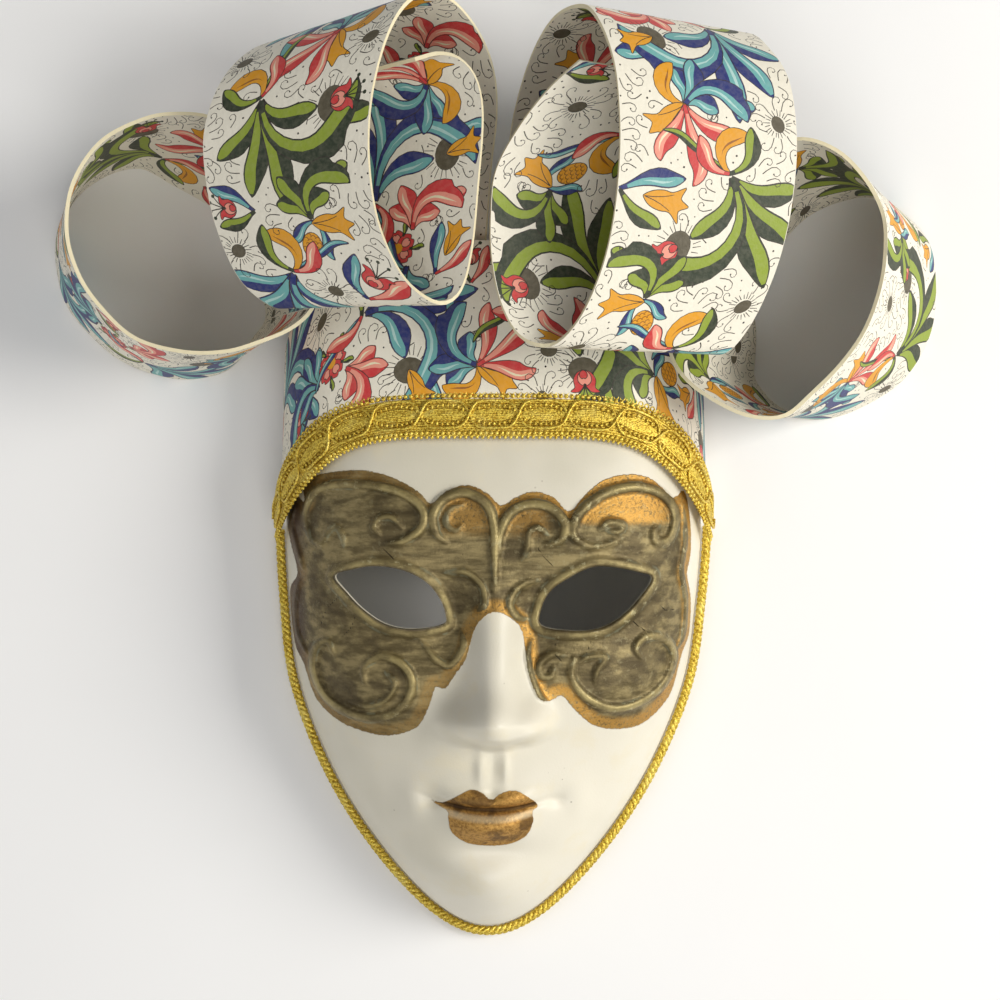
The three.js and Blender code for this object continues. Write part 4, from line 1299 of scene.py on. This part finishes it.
# %% Swept surfaces
class Swept:
    """The middle surface between a near and a far curve, by length along it and millimetres across."""

    def __init__(self, near, far, closed, wide):
        self.near, self.far, self.closed, self.wide = near, far, closed, wide
        middle = (near + far) / 2
        self.at = np.concatenate([[0], np.cumsum(np.linalg.norm(np.diff(middle, axis=0), axis=1))])
        self.length = float(self.at[-1])
        self.near_run, self.far_run = self._slope(near), self._slope(far)

    def _slope(self, curve):
        """How an edge runs on at each of its points, also where a ring closes."""
        slope = np.gradient(curve, self.at, axis=0)
        if self.closed:
            slope[0] = slope[-1] = (curve[1] - curve[-2]) / (self.at[1] + self.at[-1] - self.at[-2])
        return slope

    def _along(self, rows, s):
        """Rows read off at lengths between those of the curve's points."""
        return np.column_stack([np.interp(s, self.at, rows[:, i]) for i in range(3)])

    def place(self, s, t):
        """Points and unit normals for lengths s and widths t."""
        v = (t / self.wide)[:, None]
        near, far = self._along(self.near, s), self._along(self.far, s)
        run = self._along(self.near_run, s) * (1 - v) + self._along(self.far_run, s) * v
        normals = np.cross(run, far - near)
        return near + (far - near) * v, normals / np.linalg.norm(normals, axis=1)[:, None]


# %% Ribbons from their stations
STATION_POINTS = 14


def ribbon_sweep(stations):
    """A ribbon from its stations; four numbers mean a closed ring that stands on its far edge."""
    rows = np.array(stations, float)
    closed = rows.shape[1] == 4
    aside = rows[:, -2:]
    drop = np.sqrt(RIBBON_WIDE**2 - (aside**2).sum(axis=1))
    height = RING_REST + drop if closed else rows[:, 2]
    near = route(np.column_stack([rows[:, :2], height]), closed, STATION_POINTS)
    far = route(np.column_stack([rows[:, :2] + aside, height - drop]), closed, STATION_POINTS)
    if closed:
        near, far = np.vstack([near, near[:1]]), np.vstack([far, far[:1]])
    return Swept(near, far, closed, RIBBON_WIDE)


# %% Flat print to triangles
CROSS_STEP = 1.5
ON_EDGE = 1e-3


def print_lines(sheet):
    """Points and edges of the strip's frame, cross lines and shapes, and the shapes as clipped."""
    length = sheet.length
    count = max(2, round(length / CROSS_STEP))
    points = [(s, t) for s in np.linspace(0, length, count + 1) for t in (0.0, RIBBON_WIDE)]
    edges = [(2 * i, 2 * i + 1) for i in range(count + 1)]
    edges += [(2 * i + k, 2 * i + 2 + k) for i in range(count) for k in (0, 1)]
    held = []
    for shape, ink in sheet.shapes:
        shape = np.clip(shape, PRINT_BORDER, [length - PRINT_BORDER, RIBBON_WIDE - PRINT_BORDER])
        start, size = len(points), len(shape)
        edges += [(start + i, start + (i + 1) % size) for i in range(size)]
        points += shape.tolist()
        held.append((shape, ink))
    return points, edges, held


def ink_triangles(sheet):
    """Triangles of the flat strip: its points, the triangles and the ink over each."""
    points, edges, held = print_lines(sheet)
    made = delaunay_2d_cdt([Vector(p) for p in points], edges, [], 0, 1e-4, False)
    flat = np.array([tuple(p) for p in made[0]])
    triangles = np.array([list(t) for t in made[2]])
    middles = flat[triangles].mean(axis=1)
    order = np.argsort(middles[:, 0])
    mx, my = middles[order].T
    ink_of = np.zeros(len(triangles), int)
    for shape, ink in held:
        low, high = shape.min(axis=0), shape.max(axis=0)
        window = np.arange(*np.searchsorted(mx, [low[0], high[0]]))
        window = window[(my[window] > low[1]) & (my[window] < high[1])]
        hit = inside_polygon(mx[window], my[window], shape)
        ink_of[order[window[hit]]] = ink
    return flat, triangles, ink_of


# %% Close the cut edges
def border_of(flat):
    """Indices of the strip's edge points: along the near side, and along the far side."""
    near = np.where(flat[:, 1] < ON_EDGE)[0]
    far = np.where(flat[:, 1] > RIBBON_WIDE - ON_EDGE)[0]
    return near[np.argsort(flat[near, 0])], far[np.argsort(flat[far, 0])]


def edge_walls(borders, offset, closed):
    """Triangles between the two printed sides along both edges, and across the ends of an open ribbon."""
    walls = []
    for k, flip in ((0, 1), (1, -1)):
        a, b = borders[0][k], borders[1][k] + offset
        assert len(a) == len(b), "the two sides' edges have different points"
        quads = [np.column_stack([a[:-1], b[:-1], b[1:]]), np.column_stack([a[:-1], b[1:], a[1:]])]
        walls.append(np.vstack(quads)[:, ::flip])
    if not closed:
        for end, flip in ((0, -1), (-1, 1)):
            a0, a1 = borders[0][0][end], borders[0][1][end]
            b0, b1 = borders[1][0][end] + offset, borders[1][1][end] + offset
            walls.append(np.array([[a0, b0, b1], [a0, b1, a1]])[:, ::flip])
    return np.vstack(walls)


def welded(faces, borders, offset, count):
    """A closed ring's faces, with the points of its last cross line replaced by those of its first."""
    weld = np.arange(count)
    for border, start in zip(borders, (0, offset)):
        for edge in border:
            weld[edge[-1] + start] = edge[0] + start
    return weld[faces]


def corner_directions(points, normals, faces, walls):
    """The sweep's normals at the corners of the printed sides, and flat ones on the walls."""
    corners = normals[faces].reshape(-1, 3)
    first, second, third = points[walls.T]
    flat_out = np.cross(second - first, third - first)
    flat_out /= np.maximum(np.linalg.norm(flat_out, axis=1), 1e-9)[:, None]
    corners[-3 * len(walls):] = np.repeat(flat_out, 3, axis=0)
    return corners


# %% One printed ribbon
def printed_sides(sweep, seed):
    """Both sides of a ribbon, each with its own print: flat points, points, normals, faces and inks."""
    sides = []
    for side in (0, 1):
        flat, faces, ink = ink_triangles(draw_print(sweep.length, seed + side))
        middle, out = sweep.place(flat[:, 0], flat[:, 1])
        sign = 1 - 2 * side
        sides.append((flat, middle + out * sign * RIBBON_THICK / 2, out * sign, faces[:, ::sign], ink))
    return zip(*sides)


def printed_ribbon(name, sweep, seed):
    """A ribbon with its own print on both sides, as one closed mesh with an ink for each triangle."""
    flats, points, normals, triangles, inks = printed_sides(sweep, seed)
    borders = [border_of(flat) for flat in flats]
    offset = len(flats[0])
    walls = edge_walls(borders, offset, sweep.closed)
    points, normals = np.vstack(points), np.vstack(normals)
    faces = np.vstack([triangles[0], triangles[1] + offset, walls])
    directions = corner_directions(points, normals, faces, walls)
    if sweep.closed:
        faces = welded(faces, borders, offset, len(points))
    made = mesh_object(name, points, faces)
    mesh = made.data
    assert len(mesh.polygons) == len(faces), "the mesh lost triangles"
    colours = np.array([INKS[n] for n in INK_NAMES])
    face_ink = np.concatenate([colours[inks[0]], colours[inks[1]], np.tile(CUT_EDGE, (len(walls), 1))])
    paint = mesh.color_attributes.new("ink", "FLOAT_COLOR", "CORNER")
    paint.data.foreach_set("color", np.repeat(face_ink, 3, axis=0).astype(np.float32).ravel())
    mesh.normals_split_custom_set(directions.tolist())
    print(name, round(sweep.length), "mm long,", len(faces), "triangles")
    return made


# %% [markdown]
# ## The cap and its arch
# The cap is one more length of the ribbon, bent over the forehead. Its front edge follows an arch on the
# face, level in the middle and steep at the temples, and the braid will lie on the same arch. The arch is a
# formula too, so both pieces, and the clearance to the ceramic, come from it.

# %% The arch over the forehead
# The arch falls from its top to the temples by ARCH_DROP, the more suddenly the higher ARCH_SHARP is
ARCH_TOP_Y = -19.0
ARCH_DROP = 22.0
ARCH_EDGE = 47.7
ARCH_SHARP = 5
ARCH_REACH = 0.975
CAP_GAP = 0.5
CAP_THICK = 0.9
CAP_TAPER = 0.02
CAP_POINTS = 220


def unit(rows):
    """Directions of length 1."""
    return rows / np.linalg.norm(rows, axis=1)[:, None]


def face_normal(x, y, step=0.05):
    """The direction straight out of the face."""
    dx = (outer_height(x + step, y) - outer_height(x - step, y)) / (2 * step)
    dy = (outer_height(x, y + step) - outer_height(x, y - step)) / (2 * step)
    return unit(np.column_stack([-dx, -dy, np.ones_like(dx)]))


def on_arch(share, lift):
    """Points of the arch, raised from the face, for shares -1 at the left to 1 at the right."""
    aside = ARCH_EDGE * np.sin(share * math.pi / 2)
    y = ARCH_TOP_Y - ARCH_DROP * np.abs(aside / ARCH_EDGE) ** ARCH_SHARP
    x = aside + lean_at(y)
    normal = face_normal(x, y)
    return np.column_stack([x, y, outer_height(x, y)]) + normal * lift, normal


def cap_sweep():
    """The cap's near edge on the arch, and its far edge drawn in a little at the sides."""
    share = np.linspace(-ARCH_REACH, ARCH_REACH, CAP_POINTS)
    near, _ = on_arch(share, CAP_GAP + CAP_THICK / 2)
    drawn_in = CAP_TAPER * near[:, 0] * (near[:, 0] / ARCH_EDGE) ** 2
    far = near + np.column_stack([-drawn_in, np.full(len(near), RIBBON_WIDE), np.zeros(len(near))])
    return Swept(near, far, False, RIBBON_WIDE)


# %% Ribbon paint
ribbon_paint = Paint("printed_ribbon", Specular_IOR_Level=0.4)
ink = ribbon_paint.node("ShaderNodeAttribute", {"attribute_name": "ink"}).outputs["Color"]
fibre = ribbon_paint.noise(900, 3, 0.6)
stain = ribbon_paint.noise(60, 3)
ribbon_paint.feed(
    Base_Color=ribbon_paint.mix(fibre.step(0.3, 0.75) * 0.09, ink, tone(205, 196, 172)),
    Roughness=0.46 + fibre * 0.16,
)
ribbon_paint.bump(fibre + 0.6 * stain, 0.12 * MM)
print("ribbon paint:", len(ribbon_paint.tree.nodes), "nodes")

# %% The four loops and the cap
RIBBONS = {
    # sweep, seed of its print
    "big_loop_left": (ribbon_sweep(BIG_LOOP_LEFT), 11),
    "big_loop_right": (ribbon_sweep(BIG_LOOP_RIGHT), 23),
    "outer_loop_left": (ribbon_sweep(OUTER_LOOP_LEFT), 37),
    "outer_loop_right": (ribbon_sweep(OUTER_LOOP_RIGHT), 41),
    "cap_band": (cap_sweep(), 53),
}
for node, (sweep, seed) in RIBBONS.items():
    piece = printed_ribbon(node + "_ribbon", sweep, seed)
    piece.data.materials.append(ribbon_paint.material)
    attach(piece, "root")
    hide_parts(node)

# %% [markdown]
# ## Braid and cord from curves
# The trims are what repeats along a path, and Geometry Nodes suit that. Python lays only a guide: a chain of
# points with three fields, its length so far and the directions across and outwards. The node tree turns the
# chain into a curve and moves a copy of it for each thread by a wave of the length, so that two cords cross
# between the cells, threads gather into a lens, beads stand along both edges and loops along the upper one.
# Weaving them by hand would take a thousand small objects; a texture would be flat from the side.


# %% Node trees for trims
class Growth(Paint):
    """A Geometry Nodes tree with named inputs, built like a material from signals."""

    def __init__(self, name, **inputs):
        self.tree = bpy.data.node_groups.new(name, "GeometryNodeTree")
        sockets = self.tree.interface
        sockets.new_socket("Geometry", in_out="INPUT", socket_type="NodeSocketGeometry")
        sockets.new_socket("Geometry", in_out="OUTPUT", socket_type="NodeSocketGeometry")
        self.sizes = {}
        for label, value in inputs.items():
            socket = sockets.new_socket(label, in_out="INPUT", socket_type="NodeSocketFloat")
            socket.default_value = value
            self.sizes[socket.identifier] = value
        self.source = self.node("NodeGroupInput")
        self.sink = self.node("NodeGroupOutput")
        chain = self.node("GeometryNodeMeshToCurve", {}, {"Mesh": self.source.outputs["Geometry"]})
        self.chain = chain.outputs["Curve"]
        self.grown = []

    def size(self, label):
        """One of the tree's inputs."""
        return Signal(self, self.source.outputs[label])

    def kept(self, name, kind):
        """A field of the guide."""
        node = self.node("GeometryNodeInputNamedAttribute", {"data_type": kind}, {"Name": name})
        return node.outputs["Attribute"]

    def turn(self, label):
        """The angle that grows by a full turn in the length given by an input."""
        run = Signal(self, self.kept("run", "FLOAT"))
        return self.math("DIVIDE", run * (2 * math.pi), self.size(label))

    def wave(self, angle, kind="SINE"):
        """A swing between -1 and 1."""
        return self.math(kind, angle)

    def directed(self, name, reach):
        """One of the guide's directions, made as long as a signal says."""
        inputs = {0: self.kept(name, "FLOAT_VECTOR"), "Scale": reach}
        return self.node("ShaderNodeVectorMath", {"operation": "SCALE"}, inputs).outputs[0]

    def shifted(self, curve, across, out):
        """The curve moved across and outwards, each by a signal in metres."""
        inputs = {0: self.directed("across", across), 1: self.directed("out", out)}
        total = self.node("ShaderNodeVectorMath", {"operation": "ADD"}, inputs).outputs[0]
        moved = self.node("GeometryNodeSetPosition", {}, {"Geometry": curve, "Offset": total})
        return moved.outputs["Geometry"]

    def circle(self, sides, radius):
        """A round curve with this many points."""
        made = self.node("GeometryNodeCurvePrimitiveCircle", {}, {"Resolution": sides, "Radius": radius})
        return made.outputs["Curve"]

    def tube(self, curve, sides, radius, capped):
        """A round tube along a curve."""
        inputs = {"Curve": curve, "Profile Curve": self.circle(sides, radius), "Fill Caps": capped}
        return self.node("GeometryNodeCurveToMesh", {}, inputs).outputs["Mesh"]


# %% Threads, beads and loops of a trim
LOOP_SIDES = 9
THREAD_SIDES = 5


class Trim(Growth):
    """A tree that grows threads along its guide and rows of beads or loops beside it."""

    def thread(self, across, out, radius, sides=THREAD_SIDES):
        """A round thread along the whole guide."""
        self.grown.append(self.tube(self.shifted(self.chain, across, out), sides, radius, True))

    def row(self, shape, pitch, across, out):
        """Copies of one small shape at even steps along the guide, turned with it."""
        inputs = {"Curve": self.chain, "Length": pitch}
        steps = self.node("GeometryNodeResampleCurve", {"mode": "LENGTH"}, inputs)
        curve = self.shifted(steps.outputs["Curve"], across, out)
        axes = {"primary_axis": "Z", "secondary_axis": "Y"}
        out_axis, across_axis = self.kept("out", "FLOAT_VECTOR"), self.kept("across", "FLOAT_VECTOR")
        inputs = {"Primary Axis": out_axis, "Secondary Axis": across_axis}
        turn = self.node("FunctionNodeAxesToRotation", axes, inputs).outputs[0]
        points = self.node("GeometryNodeCurveToPoints", {"mode": "EVALUATED"}, {"Curve": curve})
        inputs = {"Points": points.outputs["Points"], "Instance": shape, "Rotation": turn}
        self.grown.append(self.node("GeometryNodeInstanceOnPoints", {}, inputs).outputs["Instances"])

    def beads(self, form, across):
        """A row of oval beads from its form in millimetres: radius, stretch, pitch and height."""
        radius, stretch, pitch, height = form
        ball = self.node("GeometryNodeMeshUVSphere", {}, {"Segments": 7, "Rings": 4, "Radius": radius * MM})
        inputs = {"Geometry": ball.outputs["Mesh"], "Scale": stretch}
        shape = self.node("GeometryNodeTransform", {}, inputs).outputs["Geometry"]
        self.row(shape, pitch * MM, across, height * MM)

    def loops(self, form, across):
        """A row of thread loops from its form in millimetres: radius, thread, pitch and height."""
        radius, thick, pitch, height = form
        shape = self.tube(self.circle(LOOP_SIDES, radius * MM), THREAD_SIDES, thick * MM, False)
        self.row(shape, pitch * MM, across, height * MM)

    def finish(self, material):
        """Joins all that was grown, makes it real and smooth, and gives it its material."""
        joined = self.node("GeometryNodeJoinGeometry")
        for grown in reversed(self.grown):
            self.tree.links.new(grown, joined.inputs["Geometry"])
        real = self.node("GeometryNodeRealizeInstances", {}, {"Geometry": joined.outputs["Geometry"]})
        smooth = self.node("GeometryNodeSetShadeSmooth", {}, {"Geometry": real.outputs["Geometry"]})
        inputs = {"Geometry": smooth.outputs["Geometry"], "Material": material}
        inked = self.node("GeometryNodeSetMaterial", {}, inputs)
        self.tree.links.new(inked.outputs["Geometry"], self.sink.inputs["Geometry"])


# %% Grow a trim on its guide
def guide_mesh(name, points, across, out):
    """A chain of points in millimetres with its length so far and its two directions."""
    mesh = bpy.data.meshes.new(name + "_guide")
    chain = [(i, i + 1) for i in range(len(points) - 1)]
    mesh.from_pydata((points * MM).tolist(), chain, [])
    steps = np.linalg.norm(np.diff(points, axis=0), axis=1)
    add_field(mesh, "run", np.concatenate([[0], np.cumsum(steps)]) * MM)
    for label, rows in (("across", across), ("out", out)):
        kept = mesh.attributes.new(label, "FLOAT_VECTOR", "POINT")
        kept.data.foreach_set("vector", rows.astype(np.float32).ravel())
    return mesh


def grow(trim, name, points, across, out):
    """Runs the tree on a guide and gives the plain mesh as an object at the origin."""
    piece = bpy.data.objects.new(name, guide_mesh(name, points, across, out))
    scene.collection.objects.link(piece)
    modifier = piece.modifiers.new("grow", "NODES")
    modifier.node_group = trim.tree
    for identifier, value in trim.sizes.items():
        modifier[identifier] = value
    graph = bpy.context.evaluated_depsgraph_get()
    grown = bpy.data.meshes.new_from_object(piece.evaluated_get(graph))
    piece.modifiers.remove(modifier)
    piece.data = grown
    for extra in ("run", "across", "out"):
        if extra in grown.attributes:
            grown.attributes.remove(grown.attributes[extra])
    print(name, len(grown.polygons), "faces")
    return piece


# %% Gold thread
gold = Paint("gold_thread", Metallic=0.62, Specular_IOR_Level=0.5)
twist = gold.noise(2300, 2, 0.5)
wear = gold.noise(240, 3, 0.6)
thread_tone = gold.mix(twist.step(0.34, 0.62), tone(178, 142, 42), tone(246, 220, 98))
gold.feed(
    Base_Color=gold.mix(wear.step(0.5, 0.7) * 0.45, thread_tone, tone(246, 228, 130)),
    Roughness=0.34 + twist * 0.22,
)
gold.bump(twist, 0.18 * MM)
print("gold thread:", len(gold.tree.nodes), "nodes")

# %% The braid's guide, on the arch
BRAID_RAISE = CAP_GAP + CAP_THICK + 0.35
BRAID_TILT = 0.6
BRAID_POINTS = 300
share = np.linspace(-ARCH_REACH, ARCH_REACH, BRAID_POINTS)
arch_points, _ = on_arch(share, BRAID_RAISE)
_, facing = on_arch(share, 0)
ahead = unit(np.gradient(arch_points, axis=0))
upwards = unit(np.array([0.0, 1.0, 0.0]) - ahead * ahead[:, 1:2])
downwards = unit(np.cross(ahead, facing))
outwards = unit(np.cross(ahead, upwards) + np.cross(downwards, ahead) * BRAID_TILT)
braid_across = unit(upwards - downwards)
braid_length = float(np.linalg.norm(np.diff(arch_points, axis=0), axis=1).sum())
print("braid", round(braid_length), "mm long")

# %% Sizes of the braid, in millimetres
BRAID_CELLS = 13
HALF_WIDTH = 4.6
CORD_RADIUS = 0.34
LENS_THREAD_RADIUS = 0.26
# The backing: lanes on each side of the middle, their pitch, height and radius
BACKING = (8, 0.56, 0.3, 0.34)
# The two crossing cords: how far they swing, their height and how far they pass over and under
CROSSING = (3.1, 1.1, 0.22)
# The lens between them: lanes on each side, their pitch, height, and fall from lane to lane
LENS = (3, 0.4, 0.85, 0.06)
LENS_EDGE = 2.15
# How square the cords' swing is, and how blunt the lens
SWAY_SQUARE = 2.6
LENS_BLUNT = 0.6
# Beads: radius, stretch, pitch and height
LENS_BEADS = (0.42, (0.8, 1.25, 0.8), 1.1, 0.85)
GIMP_BEADS = (0.5, (1.0, 1.1, 0.8), 1.15, 0.7)
EDGE_BEADS = (0.46, (0.8, 1.2, 0.8), 1.2, 0.5)
# Loops: radius, thread, pitch and height
PICOTS = (0.52, 0.24, 1.28, 0.6)
# Places of the edge rows, in half widths
GIMP_AT = 0.9
PICOTS_AT = 1.09
EDGE_BEADS_AT = -1.07
cell = braid_length / BRAID_CELLS
print("braid of", BRAID_CELLS, "cells,", round(cell, 1), "mm each")

# %% The braid over the seam
braid = Trim(
    "braid",
    Half_Width=HALF_WIDTH * MM,
    Cord=CORD_RADIUS * MM,
    Thread=LENS_THREAD_RADIUS * MM,
    Two_Cells=2 * cell * MM,
)
phase = braid.turn("Two_Cells")
swing = braid.wave(phase)
sway = braid.math("TANH", swing * SWAY_SQUARE)
lens = braid.math("POWER", braid.math("ABSOLUTE", swing), LENS_BLUNT)
over = braid.wave(phase, "COSINE")

lanes, pitch, height, radius = BACKING
for lane in range(-lanes, lanes + 1):
    braid.thread(pitch * lane * MM, height * MM, radius * MM)
reach, height, lift = CROSSING
for hand in (-1, 1):
    braid.thread(sway * (reach * hand * MM), height * MM + over * (lift * hand * MM), braid.size("Cord"))
lanes, pitch, height, fall = LENS
for lane in range(-lanes, lanes + 1):
    braid.thread(lens * (pitch * lane * MM), (height - fall * abs(lane)) * MM, braid.size("Thread"))
for side in (-1, 1):
    braid.beads(LENS_BEADS, lens * (LENS_EDGE * side * MM))
    braid.beads(GIMP_BEADS, braid.size("Half_Width") * (GIMP_AT * side))
braid.loops(PICOTS, braid.size("Half_Width") * PICOTS_AT)
braid.beads(EDGE_BEADS, braid.size("Half_Width") * EDGE_BEADS_AT)
braid.finish(gold.material)
braid_piece = grow(braid, "forehead_gimp", arch_points, braid_across, outwards)
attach(braid_piece, "root")
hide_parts("forehead_braid")

# %% The cord's guide, round the rim from braid to braid
CORD_HEIGHT = 2.0
CORD_ASIDE = 1.5
# Where the cord starts and ends, as shares of the way round the rim
CORD_SHARES = (0.232, 0.768)
rim = whole_outline(40)
first, last = [int(share * len(rim)) for share in CORD_SHARES]
rim_ahead = np.roll(rim, -1, axis=0) - np.roll(rim, 1, axis=0)
rim_run = unit(np.column_stack([rim_ahead, np.zeros(len(rim))]))[first:last]
rim_side = np.column_stack([-rim_run[:, 1], rim_run[:, 0], np.zeros(len(rim_run))])
rim_points = np.column_stack([rim[first:last], np.full(last - first, CORD_HEIGHT)])
cord_points = rim_points + rim_side * CORD_ASIDE
up = np.tile([0.0, 0.0, 1.0], (len(cord_points), 1))
print("cord", round(float(np.linalg.norm(np.diff(cord_points, axis=0), axis=1).sum())), "mm long")

# %% The cord round the face
STRANDS = 3
STRAND_SIDES = 7
STRAND_RADIUS = 0.58
STRAND_ASIDE = 0.55
CORD_LAY = 4.2
cord = Trim("cord", Radius=STRAND_RADIUS * MM, Pitch=CORD_LAY * MM)
lay = cord.turn("Pitch")
for strand in range(STRANDS):
    angle = lay + strand * 2 * math.pi / STRANDS
    aside, out = [cord.wave(angle, kind) * (STRAND_ASIDE * MM) for kind in ("SINE", "COSINE")]
    cord.thread(aside, out, cord.size("Radius"), STRAND_SIDES)
cord.finish(gold.material)
cord_piece = grow(cord, "rim_cord", cord_points, rim_side, up)
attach(cord_piece, "root")
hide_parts("edge_cord")
